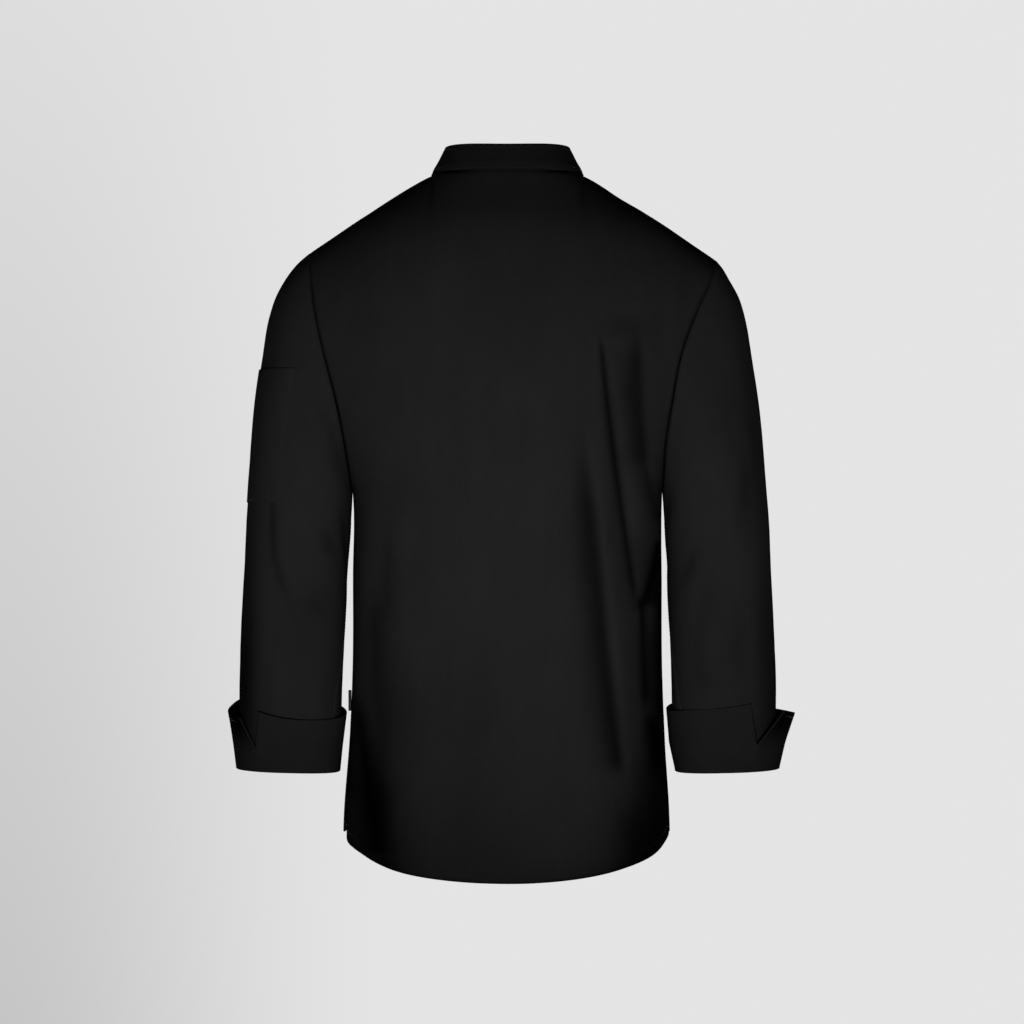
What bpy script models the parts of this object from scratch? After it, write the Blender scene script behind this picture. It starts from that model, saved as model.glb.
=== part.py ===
"""A chef jacket, worn and hollow, at its real size.

Metres, +Z up. The origin is the middle of the neck base, level with the side neck points, where
the wearer's neck and shoulders carry the jacket. The front faces -Y, the wearer's left is +X.

Each cut piece is a thin wall of cloth: a grid of points on the jacket's outer surface, and the
same grid moved inwards by the thickness of the cloth. On the body a point is named by its side
(1 left, -1 right), its face (back or front), how far across it lies (0 at the middle line, 1 at
the side seam or armhole) and how far up (-1 at the hem, 0 at the underarm, 1 at the shoulder).
"""

import math
from collections import namedtuple

import bpy
import numpy as np
from mathutils import Vector

# Cloth and clearances
CLOTH = 0.0015
COLLAR_CLOTH = 0.0025
CUFF_CLOTH = 0.0020
FACING_CLOTH = 0.0010
SEAM = 0.0003  # between the edges of two pieces that are sewn together
LAYER = 0.0008  # between a piece and one that lies on it
ARMHOLE_SEAM = 0.0005

# Neck, shoulders and armholes
NECK_HALF_WIDTH = 0.083
NECK_BACK = 0.065
NECK_FRONT = 0.080
NECK_RISE = 0.0028
NECK_DROP = 0.075
NECK_SHARE = 0.30  # share of the way across at which the neckline ends and the shoulder starts
SHOULDER_Z = {1: -0.0870, -1: -0.0946}
SHOULDER_SAG = 1.12  # power of the shoulder's fall, 1 is a straight slope
UNDERARM_Z = -0.345
ARMHOLE_DEPTH = {"back": 0.074, "front": 0.066}
ARMHOLE_ROUND = 2.5
SHOULDER_ROUND = 4.0  # power of the curve over the shoulder
NECK_CURVE = {"back": 3.5, "front": 3.3}  # the same power at the middle line

# Hems and vents
BACK_HEM_SIDE_Z = {1: -0.7225, -1: -0.7185}
BACK_HEM_MIDDLE_Z = -0.7630
BACK_HEM_POWER = 1.65
FRONT_HEM_SIDE_Z = -0.7205
FRONT_HEM_DIP = 0.0040
VENT_TOP_Z = -0.589
VENT_SPREAD = {1: 0.0030, -1: 0.0008}  # how far the front's vent edge stands out at the hem
VENT_TUCK = {1: 0.0012, -1: 0.0004}  # how far the back's vent edge lies in

# Double-breasted front: columns of each front that lie past the middle line
OVERLAP = {1: 0.24, -1: 0.18}
OVERLAP_TOP_Z = {1: -0.0765, -1: -0.0800}
OVERLAP_LIFT = CLOTH + 0.0012

ROUNDNESS = 0.85  # power of the sine and cosine in a body section: 1 is an ellipse, less is fuller

# The body's sections: where the side seam or armhole lies on each side, and how deep it is
Section = namedtuple("Section", "z left right back front")
BODY = (
    Section(-0.7650, 0.1780, 0.1778, 0.1300, 0.1360),
    Section(-0.7000, 0.1760, 0.1755, 0.1270, 0.1340),
    Section(-0.6200, 0.1722, 0.1710, 0.1210, 0.1320),
    Section(-0.5400, 0.1690, 0.1680, 0.1150, 0.1310),
    Section(-0.4400, 0.1687, 0.1678, 0.1130, 0.1320),
    Section(-0.3450, 0.1700, 0.1697, 0.1180, 0.1370),
    Section(-0.3000, 0.1765, 0.1717, 0.1200, 0.1390),
    Section(-0.2500, 0.1865, 0.1795, 0.1210, 0.1400),
    Section(-0.2000, 0.1998, 0.1900, 0.1205, 0.1400),
    Section(-0.1500, 0.2115, 0.2095, 0.1195, 0.1390),
    Section(-0.1150, 0.2155, 0.2240, 0.1190, 0.1385),
    Section(-0.0850, 0.2172, 0.2300, 0.1185, 0.1380),
    Section(0.0100, 0.2172, 0.2300, 0.1185, 0.1380),
)

# The main folds of the body: three points of each, from the top, then its width and depth.
# A negative depth is a ridge.
Fold = namedtuple("Fold", "face top_x top_z mid_x mid_z low_x low_z width depth")
FOLDS = (
    Fold("back", -0.100, -0.170, -0.127, -0.370, -0.158, -0.680, 0.0085, 0.0080),
    Fold("back", -0.134, -0.185, -0.143, -0.283, -0.159, -0.375, 0.0110, 0.0060),
    Fold("back", -0.078, -0.280, -0.094, -0.470, -0.122, -0.660, 0.0130, 0.0060),
    Fold("back", -0.092, -0.290, -0.114, -0.480, -0.136, -0.690, 0.0090, -0.0035),
    Fold("back", -0.166, -0.395, -0.153, -0.430, -0.141, -0.480, 0.0070, 0.0040),
    Fold("back", -0.128, -0.660, -0.128, -0.715, -0.124, -0.780, 0.0200, 0.0060),
    Fold("back", 0.164, -0.530, 0.152, -0.625, 0.137, -0.780, 0.0090, 0.0070),
    Fold("back", 0.150, -0.550, 0.139, -0.620, 0.120, -0.740, 0.0100, -0.0030),
    Fold("back", 0.020, -0.530, 0.040, -0.640, 0.066, -0.740, 0.0200, 0.0030),
    Fold("front", 0.105, -0.230, 0.120, -0.400, 0.132, -0.640, 0.0140, 0.0060),
    Fold("front", -0.110, -0.250, -0.128, -0.420, -0.140, -0.660, 0.0120, 0.0065),
    Fold("front", -0.120, -0.560, -0.105, -0.640, -0.095, -0.740, 0.0160, 0.0050),
    Fold("front", 0.118, -0.540, 0.102, -0.630, 0.085, -0.735, 0.0170, 0.0045),
)
FOLD_TAPER = 0.30  # share of a fold's length over which each end dies away
SEAM_FADE = 8  # power with which folds die away towards the seams

# The sleeve's sections below the shoulder: its outer point, how far its inner side hangs from
# the body and at what height, the middle of its depth, and half that depth
Ring = namedtuple("Ring", "outer_x outer_z gap inner_z middle_y half_depth")
SLEEVE = (
    Ring(0.2440, -0.1150, 0.0012, -0.3500, 0.0000, 0.0675),
    Ring(0.2552, -0.1360, 0.0016, -0.3530, 0.0000, 0.0690),
    Ring(0.2632, -0.1630, 0.0020, -0.3560, -0.0010, 0.0700),
    Ring(0.2697, -0.2025, 0.0025, -0.3600, -0.0020, 0.0705),
    Ring(0.2775, -0.2550, 0.0031, -0.3660, -0.0030, 0.0700),
    Ring(0.2828, -0.3150, 0.0041, -0.3760, -0.0040, 0.0690),
    Ring(0.2868, -0.3700, 0.0056, -0.3950, -0.0050, 0.0675),
    Ring(0.2890, -0.4180, 0.0078, -0.4250, -0.0060, 0.0650),
    Ring(0.2915, -0.4650, 0.0099, -0.4680, -0.0080, 0.0615),
    Ring(0.2938, -0.5150, 0.0118, -0.5150, -0.0110, 0.0575),
    Ring(0.2958, -0.5600, 0.0130, -0.5600, -0.0140, 0.0530),
    Ring(0.2962, -0.5950, 0.0129, -0.5950, -0.0165, 0.0490),
    Ring(0.2945, -0.6260, 0.0140, -0.6260, -0.0180, 0.0475),
)
SLEEVE_END_Z = SLEEVE[-1].outer_z
RIGHT_SLEEVE_IN = 0.0015  # the right sleeve hangs this much nearer the middle
# At the armhole and just below it, down to where the table starts
ARMHOLE_RING = Ring(None, None, ARMHOLE_SEAM, UNDERARM_Z, 0.0, 0.0665)
CAP_RING = Ring(None, None, 0.0008, -0.3475, 0.0, 0.0668)
SLEEVE_ROUNDNESS = 0.88
CAP_RINGS = 5  # rings over which the armhole's own shape dies away down the sleeve
CAP_RISE = (0.0014, 0.0021)  # how far out and up the cap stands from a straight line

# The turned-back cuff. Angles run from the outer side (0) over the back (90), in degrees
FOLD_Z = -0.6498
FOLD_TILT = 0.0018  # the outer side of the fold is this much higher
CUFF_LAYERS = 0.0016  # clear space between the cuff's two layers at the fold
# Where the foot of the V slit and the two ends of its opening lie, how far the outer layer
# stands off at the foot's height, and how far the cuff's middle lies outside the sleeve's
Slit = namedtuple("Slit", "foot_z foot back_edge outer_edge stand_off shift")
CUFF_SLIT = {
    1: Slit(-0.6281, 60, 64, 45, 0.0062, 0.0018),
    -1: Slit(-0.6240, 66, 71, 39, 0.0090, 0.0026),
}
# The rim, by the share of the way round from the slit's outer edge over the front to its back
# edge: height, and how far it flares out from the end of the sleeve
Rim = namedtuple("Rim", "share left_z left_flare right_z right_flare")
CUFF_RIM = (
    Rim(0.00, -0.5946, 0.0142, -0.5870, 0.0200),
    Rim(0.12, -0.5881, 0.0121, -0.5915, 0.0201),
    Rim(0.28, -0.5785, 0.0120, -0.5885, 0.0155),
    Rim(0.40, -0.5800, 0.0112, -0.5835, 0.0120),
    Rim(0.58, -0.5870, 0.0108, -0.5835, 0.0126),
    Rim(0.68, -0.5935, 0.0105, -0.5880, 0.0124),
    Rim(0.82, -0.5970, 0.0090, -0.5860, 0.0110),
    Rim(0.92, -0.5950, 0.0088, -0.5835, 0.0108),
    Rim(1.00, -0.5878, 0.0088, -0.5789, 0.0108),
)

# Stand collar
COLLAR_TOP_HALF_WIDTH = 0.0677
COLLAR_TOP_BACK = 0.0550
COLLAR_TOP_FRONT = 0.0665
COLLAR_RISE = 0.0303  # at the sides of the neck
COLLAR_BACK_DIP = 0.0048  # how much lower the collar is at the middle of the back
COLLAR_FRONT_DIP = 0.0033
COLLAR_SEAM = 0.0005
# The rounded front end of the collar, as shares: how far towards the next neckline point, and
# how high
CollarEnd = namedtuple("CollarEnd", "along height")
COLLAR_END = (CollarEnd(0.12, 0.62), CollarEnd(0.30, 0.86), CollarEnd(0.55, 0.97))

# Small pieces. The facing is a half-moon: its width and drop are in the body's own shares
FACING_WIDTH = 0.34
FACING_SIDE = 0.335
FACING_DROP = 0.45
FACING_TOP = 0.97
FACING_LAYER = 0.0010
POCKET_ANGLES = (75, 60, 45, 30, 15, 0)  # round the sleeve, in degrees, from back to front
POCKET_TOP_Z = -0.214
POCKET_LENGTH = 0.145
POCKET_CLOTH = 0.0010
TAB_Z = -0.5768
TAB_SIZE = (0.0034, 0.0024, 0.0230)
BUTTON_RADIUS = 0.0095
BUTTON_THICK = 0.0035
BUTTON_ACROSS = 0.18
BUTTON_TOP_Z = -0.108
BUTTON_STEP = 0.104
BUTTON_ROWS = 5
BUTTON_GAP = 0.0005

# How finely the pieces are divided
NECK_COLUMNS = (0.0, 0.06, 0.12, 0.18, 0.24, 0.30)
PLAIN_COLUMNS = (0.40, 0.50, 0.62, 0.74, 0.84, 0.93, 1.0)
FOLD_COLUMNS = (0.36, 0.42, 0.48, 0.54, 0.60, 0.66, 0.72, 0.79, 0.87, 0.94, 1.0)
LOWER_ROWS = 11
UPPER_ROWS = 12
COLLAR_ROWS = 3
FACING_ROWS = 5
POCKET_ROWS = 10
CUFF_COLUMNS = 28
CUFF_ROWS = 3
BUTTON_SIDES = 14

Finish = namedtuple("Finish", "colour roughness")
CLOTH_FINISH = Finish((0.012, 0.012, 0.013), 0.85)
BUTTON_FINISH = Finish((0.010, 0.010, 0.011), 0.35)
SHARP_ANGLE = math.radians(40)


def ease(low, high, at):
    """0 below low, 1 above high, and a smooth step between them."""
    share = np.clip((at - low) / (high - low), 0, 1)
    return share * share * (3 - 2 * share)


def read(table, column, at, by=None):
    """A named column of a table, read between its rows along a smooth curve.

    The rows are told apart by another column, or by their number from 0.
    """
    x = np.array([getattr(row, by) if by else i for i, row in enumerate(table)], float)
    y = np.array([getattr(row, column) for row in table], float)
    order = np.argsort(x)
    x, y = x[order], y[order]
    slope = np.gradient(y, x)
    at = np.clip(at, x[0], x[-1])
    i = np.clip(np.searchsorted(x, at) - 1, 0, len(x) - 2)
    step = x[i + 1] - x[i]
    s = (at - x[i]) / step
    start = (1 + 2 * s) * (1 - s) ** 2 * y[i] + s * (1 - s) ** 2 * step * slope[i]
    end = s * s * (3 - 2 * s) * y[i + 1] - s * s * (1 - s) * step * slope[i + 1]
    return start + end


def unit(vectors):
    return vectors / np.linalg.norm(vectors, axis=-1, keepdims=True)


def side_name(side):
    return "left" if side > 0 else "right"


# ---- the body's surface --------------------------------------------------------------------


def neckline(side, face, turn):
    """The neck seam: turn is 0 at the middle of the back or front and a right angle at the side."""
    x = side * NECK_HALF_WIDTH * np.sin(turn)
    if face == "back":
        y = NECK_BACK * np.cos(turn)
        z = NECK_RISE * (1 - np.sin(turn) ** 4)
    else:
        y = -NECK_FRONT * np.cos(turn)
        z = -NECK_DROP * np.cos(turn) ** 2
    return np.stack([x, y, z], -1)


def top_edge(side, face, across):
    """The neckline and then the shoulder seam, from the middle line out."""
    neck = neckline(side, face, np.clip(across / NECK_SHARE, 0, 1) * math.pi / 2)
    out = np.clip((across - NECK_SHARE) / (1 - NECK_SHARE), 0, 1)
    shoulder_x = read(BODY, side_name(side), SHOULDER_Z[side], "z")
    x = side * (NECK_HALF_WIDTH + (shoulder_x - NECK_HALF_WIDTH) * out)
    shoulder = np.stack([x, 0 * x, SHOULDER_Z[side] * out**SHOULDER_SAG], -1)
    return np.where((across <= NECK_SHARE)[..., None], neck, shoulder)


def hem_height(side, face, across):
    if face == "back":
        drop = BACK_HEM_MIDDLE_Z - BACK_HEM_SIDE_Z[side]
        return BACK_HEM_SIDE_Z[side] + drop * (1 - across**BACK_HEM_POWER)
    return FRONT_HEM_SIDE_Z - FRONT_HEM_DIP * (1 - across**2)


def below_underarm(side, face, across, up):
    """Full sections of the body, whose lower edge is the hem."""
    hem = hem_height(side, face, across)
    z = hem + (UNDERARM_Z - hem) * (up + 1)
    turn = across * math.pi / 2
    half = read(BODY, side_name(side), z, "z")
    parting = ease(0, 1, (VENT_TOP_Z - z) / (VENT_TOP_Z - hem)) * across**6
    half = half + parting * (VENT_SPREAD[side] if face == "front" else -VENT_TUCK[side])
    x = side * half * np.sin(turn) ** ROUNDNESS
    y = read(BODY, face, z, "z") * np.clip(np.cos(turn), 0, 1) ** ROUNDNESS
    return np.stack([x, y if face == "back" else -y, z], -1)


def above_underarm(side, face, across, up):
    """Sections cut off by the armhole, which close over the shoulder and meet the neckline."""
    outward = 1 if face == "back" else -1
    top = top_edge(side, face, across)
    z = UNDERARM_Z + (top[..., 2] - UNDERARM_Z) * up
    edge_z = UNDERARM_Z + (SHOULDER_Z[side] - UNDERARM_Z) * up
    edge_x = read(BODY, side_name(side), edge_z, "z")
    edge_y = ARMHOLE_DEPTH[face] * np.sqrt(np.clip(1 - (1 - up) ** ARMHOLE_ROUND, 0, 1))
    middle_y = read(BODY, face, z, "z")
    end = np.arccos(np.clip(edge_y / middle_y, 0, 1) ** (1 / ROUNDNESS))
    turn = across * end
    sideways = (np.sin(turn) / np.sin(end)) ** ROUNDNESS
    end_cos = np.clip(np.cos(end), 0, 1) ** ROUNDNESS
    depth = (np.clip(np.cos(turn), 0, 1) ** ROUNDNESS - end_cos) / (1 - end_cos)
    y = edge_y + (middle_y - edge_y) * depth
    outwards = np.clip(across / NECK_SHARE, 0, 1)
    power = NECK_CURVE[face] + (SHOULDER_ROUND - NECK_CURVE[face]) * ease(0, 1, outwards)
    root = 1 - 0.5 * ease(0, 1, outwards)
    closing = np.clip(1 - up**power, 0, 1) ** root
    top_y = np.abs(top[..., 1])
    y = outward * (top_y + (y - top_y) * closing)
    top_share = np.abs(top[..., 0]) / read(BODY, side_name(side), SHOULDER_Z[side], "z")
    x = side * edge_x * (sideways + (top_share - sideways) * up**2)
    return np.stack([x, y, z], -1)


def body(side, face, across, up):
    """A point of the body's outer surface."""
    low = below_underarm(side, face, across, np.minimum(up, 0))
    high = above_underarm(side, face, across, np.clip(up, 0, 1))
    return np.where((up <= 0)[..., None], low, high)


def grid_normals(grid, around=False):
    """The unit normal at each point of a grid: the way along a row, crossed with the way on."""
    if around:
        wide = np.concatenate([grid[:, -1:], grid, grid[:, :1]], 1)
        along = np.gradient(wide, axis=1)[:, 1:-1]
    else:
        along = np.gradient(grid, axis=1)
    return unit(np.cross(along, np.gradient(grid, axis=0)))


def fold_depths(points, face):
    """How far the folds push each point of the body in."""
    x, z = points[..., 0], points[..., 2]
    depth = np.zeros_like(x)
    for fold in FOLDS:
        if fold.face != face:
            continue
        heights = (fold.top_z, fold.mid_z, fold.low_z)
        path = np.polyfit(heights, (fold.top_x, fold.mid_x, fold.low_x), 2)
        inside = np.clip(z, fold.low_z, fold.top_z)
        lean = np.polyval(np.polyder(path), inside)
        off = (x - np.polyval(path, inside)) / np.sqrt(1 + lean**2)
        down = (fold.top_z - z) / (fold.top_z - fold.low_z)
        taper = ease(0, FOLD_TAPER, down) * ease(0, FOLD_TAPER, 1 - down)
        depth += fold.depth * taper * np.exp(-0.5 * (off / fold.width) ** 2)
    return depth


Panel = namedtuple("Panel", "across up outer inner")


def body_panel(face, across, up, beyond=0):
    """One cut piece of the body. across runs over the middle line, positive on the left.

    beyond is the side on which a front laps over or under the other one, and stays below the
    neckline. The left front, which laps over, is lifted clear of the right one.
    """
    columns = []
    for share in across:
        side = int(np.sign(share)) or -beyond or 1
        level = np.array(up, float)
        if side == beyond and face == "front":
            top_z = top_edge(side, face, np.array([abs(share)]))[0, 2]
            lowered = (OVERLAP_TOP_Z[-beyond] - UNDERARM_Z) / (top_z - UNDERARM_Z)
            level = np.where(level > 0, level * lowered, level)
        columns.append(body(side, face, np.full(len(up), abs(share)), level))
    grid = np.stack(columns, 1)
    normal = grid_normals(grid)
    seams = (1 - np.abs(across) ** SEAM_FADE)[None, :] * (1 - np.clip(up, 0, 1) ** 4)[:, None]
    grid = grid - normal * (fold_depths(grid, face) * seams)[..., None]
    normal = grid_normals(grid)
    if beyond < 0:
        lift = OVERLAP_LIFT * ease(-NECK_SHARE, -OVERLAP[-1], -np.array(across))
        grid = grid + normal * lift[None, :, None]
        normal = grid_normals(grid)
    at_side = np.abs(across)[None, :] * np.ones(len(up))[:, None] >= 1
    at_shoulder = (np.array(up) >= 1)[:, None] & (np.abs(across) >= NECK_SHARE)[None, :]
    if beyond:
        at_shoulder &= (np.sign(across) != beyond)[None, :]
    flat = (at_side & (np.array(up) <= 0)[:, None]) | at_shoulder
    normal[flat, 1] = 0
    normal = unit(normal)
    grid[flat, 1] = SEAM / 2 if face == "back" else -SEAM / 2
    return Panel(np.array(across), np.array(up), grid, grid - CLOTH * normal)


# ---- the sleeves' surface ------------------------------------------------------------------


def sleeve_rings(side):
    """The sleeve's table with the two rings next to the shoulder worked out from it."""
    shoulder_x = float(read(BODY, side_name(side), SHOULDER_Z[side], "z"))
    inset = 0 if side > 0 else RIGHT_SLEEVE_IN
    rings = [ring._replace(outer_x=ring.outer_x - inset) for ring in SLEEVE]
    shoulder = ARMHOLE_RING._replace(outer_x=shoulder_x, outer_z=SHOULDER_Z[side])
    cap_x = (shoulder_x + rings[0].outer_x) / 2 + CAP_RISE[0]
    cap_z = (SHOULDER_Z[side] + rings[0].outer_z) / 2 + CAP_RISE[1]
    return [shoulder, CAP_RING._replace(outer_x=cap_x, outer_z=cap_z), *rings]


def sleeve(side, angle, down):
    """A point of the sleeve: angle from its outer side over the back, down in rings."""
    rings = sleeve_rings(side)
    inner_z = read(rings, "inner_z", down)
    inner_x = read(BODY, side_name(side), inner_z, "z") + read(rings, "gap", down)
    outer_x, outer_z = read(rings, "outer_x", down), read(rings, "outer_z", down)
    cos, sin = np.cos(angle), np.sin(angle)
    swing = np.sign(cos) * np.abs(cos) ** SLEEVE_ROUNDNESS / 2
    x = side * ((outer_x + inner_x) / 2 + (outer_x - inner_x) * swing)
    z = (outer_z + inner_z) / 2 + (outer_z - inner_z) * swing
    depth = np.sign(sin) * np.abs(sin) ** SLEEVE_ROUNDNESS
    y = read(rings, "middle_y", down) + read(rings, "half_depth", down) * depth
    return np.stack([x, y, z], -1)


def armhole(side, angle):
    """The edge of the body that the sleeve is sewn to."""
    up = (1 + np.cos(angle)) / 2
    back = above_underarm(side, "back", np.ones_like(up), up)
    front = above_underarm(side, "front", np.ones_like(up), up)
    edge = np.where((np.sin(angle) >= 0)[..., None], back, front)
    edge[..., 0] += side * ARMHOLE_SEAM
    return edge


def set_in_sleeve(side, angle, down):
    """The sleeve with its top ring drawn onto the armhole."""
    start = armhole(side, angle) - sleeve(side, angle, np.zeros_like(down))
    fade = (1 - ease(0, CAP_RINGS, down))[..., None]
    return sleeve(side, angle, down) + start * fade


# ---- solids --------------------------------------------------------------------------------


def add_finish(mesh, name, finish):
    """Gives a mesh its own material, and smooth shading between its sharp edges."""
    material = bpy.data.materials.new(name)
    material.use_nodes = True
    shader = material.node_tree.nodes["Principled BSDF"]
    shader.inputs["Base Color"].default_value = (*finish.colour, 1)
    shader.inputs["Roughness"].default_value = finish.roughness
    shader.inputs["Metallic"].default_value = 0
    mesh.materials.append(material)
    mesh.shade_smooth()
    mesh.set_sharp_from_angle(angle=SHARP_ANGLE)


def cells(ids):
    """Two triangles for each cell of a grid of point numbers, all split the same way."""
    a, b, c, d = ids[:-1, :-1], ids[:-1, 1:], ids[1:, 1:], ids[1:, :-1]
    halves = [np.stack([a, b, c], -1), np.stack([a, c, d], -1)]
    return np.concatenate([half.reshape(-1, 3) for half in halves])


def wall(name, outer, inner, ids=None, turned=False):
    """A closed solid of cloth between two matching grids of points, with its rim filled in.

    ids gives the number of each grid point, and turned says that the rows run the other way
    round, so that the faces must too.
    """
    rows, columns = outer.shape[:2]
    if ids is None:
        ids = np.arange(rows * columns).reshape(rows, columns)
    faces = cells(ids)
    if turned:
        faces = faces[:, ::-1]
    used, faces = np.unique(faces, return_inverse=True)
    faces = faces.reshape(-1, 3)
    edges = np.concatenate([faces[:, [0, 1]], faces[:, [1, 2]], faces[:, [2, 0]]]).tolist()
    paired = {(b, a) for a, b in edges}
    rim = np.array([edge for edge in edges if tuple(edge) not in paired])
    start, end, count = rim[:, 0], rim[:, 1], len(used)
    sides = [
        np.stack([end, start, start + count], 1),
        np.stack([end, start + count, end + count], 1),
    ]
    points = np.concatenate([outer.reshape(-1, 3)[used], inner.reshape(-1, 3)[used]])
    triangles = np.concatenate([faces, faces[:, ::-1] + count, *sides])
    mesh = bpy.data.meshes.new(name)
    mesh.from_pydata(points.tolist(), [], triangles.tolist())
    add_finish(mesh, name, CLOTH_FINISH)
    bpy.context.scene.collection.objects.link(bpy.data.objects.new(name, mesh))


def joined_ids(rows, columns, joined_rows):
    """Point numbers of a grid whose last column is its first one in the rows that are joined."""
    ids = np.arange(rows * columns).reshape(rows, columns)
    ids[joined_rows, -1] = ids[joined_rows, 0]
    return ids


# ---- pieces --------------------------------------------------------------------------------


def levels():
    lower = np.linspace(-1, 0, LOWER_ROWS + 1)
    upper = (1 - np.cos(np.linspace(0, math.pi, UPPER_ROWS + 1))) / 2
    return np.concatenate([lower, upper[1:]])


def make_back():
    left = (*NECK_COLUMNS, *PLAIN_COLUMNS)
    right = (*NECK_COLUMNS, *FOLD_COLUMNS)
    across = np.array([*left[::-1], *(-share for share in right[1:])])
    panel = body_panel("back", across, levels())
    wall("back_panel", panel.outer, panel.inner)
    return panel


def make_front(side):
    """A front panel, from just past the middle line to its own side."""
    past = [-share for share in NECK_COLUMNS[1:] if share <= OVERLAP[side]]
    across = side * np.array([*past[::-1], *NECK_COLUMNS, *PLAIN_COLUMNS])
    panel = body_panel("front", across[::side], levels(), beyond=-side)
    wall(side_name(side) + "_front", panel.outer, panel.inner)
    return panel


def make_sleeve(side):
    angle = np.linspace(0, 2 * math.pi, 2 * UPPER_ROWS + 1)[:-1]
    down = np.arange(len(SLEEVE) + 2, dtype=float)
    down, angle = np.meshgrid(down, angle, indexing="ij")
    grid = set_in_sleeve(side, angle, down)
    normal = -side * grid_normals(grid, around=True)
    # At the armhole the sleeve's wall leans no further out than the body's does.
    near = armhole_normals(side, angle[0])
    outwards = side * normal[0, :, 0]
    normal[0, :, 0] = side * np.minimum(outwards, side * near[:, 0])
    normal = unit(normal)
    inner = grid - CLOTH * normal
    closed = np.concatenate([grid, grid[:, :1]], 1)
    closed_inner = np.concatenate([inner, inner[:, :1]], 1)
    ids = joined_ids(len(grid), closed.shape[1], slice(None))
    wall(side_name(side) + "_sleeve", closed, closed_inner, ids, turned=side > 0)
    return grid


def armhole_normals(side, angle):
    """The body's outward normal along the armhole."""
    near = []
    for face in ("back", "front"):
        across = np.array([0.93, 1.0])
        up = (1 + np.cos(angle)) / 2
        across, up = np.meshgrid(across, up, indexing="ij")
        grid = above_underarm(side, face, across, up)
        out = grid[1] - grid[0]
        along = np.gradient(grid[1], axis=0)
        normal = np.cross(out, along)
        reference = np.array([side, 1.0 if face == "back" else -1.0, 1.0])
        normal *= np.sign(normal @ reference)[:, None]
        near.append(normal)
    picked = np.where((np.sin(angle) >= 0)[:, None], near[0], near[1])
    return unit(picked + 1e-9)


def make_cuff(side):
    """A turned-back cuff: down in the sleeve's line, round the fold and up to a flared rim.

    Its columns run from one edge of the slit round the front to the other, and are joined below
    the foot of the slit.
    """
    slit = CUFF_SLIT[side]
    middle = CUFF_LAYERS / 2
    reach = (middle + CUFF_CLOTH, middle)
    # Each row: the share of the fold's shift and tilt that it has, then for the cuff's outer
    # and inner face how far it stands off, and its height.
    rows = [(0, 0, (-CUFF_CLOTH, 0), (SLEEVE_END_Z - SEAM,) * 2)]
    for turn in np.radians((0, 45, 90, 135, 180)):
        offs = [middle - radius * math.cos(turn) for radius in reach]
        rows.append((1, 1, offs, [FOLD_Z - radius * math.sin(turn) for radius in reach]))
    halfway = (CUFF_LAYERS + CUFF_CLOTH + slit.stand_off) / 2
    for off, z in ((halfway, (FOLD_Z + slit.foot_z) / 2), (slit.stand_off, slit.foot_z)):
        rows.append((1, 0, (off, off - CUFF_CLOTH), (z, z)))
    share = np.linspace(0, 1, CUFF_COLUMNS + 1)
    degrees = slit.foot - 360 * share
    tilt = FOLD_TILT * np.cos(np.radians(degrees))
    grids = ([], [])
    for shifted, tilted, offs, heights in rows:
        for grid, off, z in zip(grids, offs, heights):
            grid.append(cuff_ring(side, degrees, off, slit.shift * shifted, z + tilt * tilted))
    rim_z = read(CUFF_RIM, side_name(side) + "_z", share, "share")
    flare = read(CUFF_RIM, side_name(side) + "_flare", share, "share")
    for lift in np.linspace(0, 1, CUFF_ROWS + 1)[1:]:
        outer_edge = slit.foot + (slit.outer_edge - slit.foot) * lift
        back_edge = slit.foot + (slit.back_edge - slit.foot) * lift - 360
        degrees = outer_edge + (back_edge - outer_edge) * share
        off = slit.stand_off + (flare - slit.stand_off) * lift
        z = slit.foot_z + (rim_z - slit.foot_z) * lift
        for grid, thick in zip(grids, (0, CUFF_CLOTH)):
            grid.append(cuff_ring(side, degrees, off - thick, slit.shift, z))
    outer, inner = np.array(grids[0]), np.array(grids[1])
    ids = joined_ids(len(outer), len(share), slice(0, len(rows)))
    wall(side_name(side) + "_cuff", outer, inner, ids, turned=side > 0)


def cuff_ring(side, degrees, off, shift, z):
    """Points around the sleeve's end, moved out by off, and by shift to the outer side."""
    ring = sleeve_rings(side)[-1]
    inner_x = float(read(BODY, side_name(side), ring.inner_z, "z")) + ring.gap
    middle_x = (ring.outer_x + inner_x) / 2 + shift
    half_width = (ring.outer_x - inner_x) / 2 + off
    cos, sin = np.cos(np.radians(degrees)), np.sin(np.radians(degrees))
    x = side * (middle_x + half_width * np.sign(cos) * np.abs(cos) ** SLEEVE_ROUNDNESS)
    depth = (ring.half_depth + off) * np.sign(sin) * np.abs(sin) ** SLEEVE_ROUNDNESS
    return np.stack([x, ring.middle_y + depth, z + 0 * x], -1)


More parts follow.
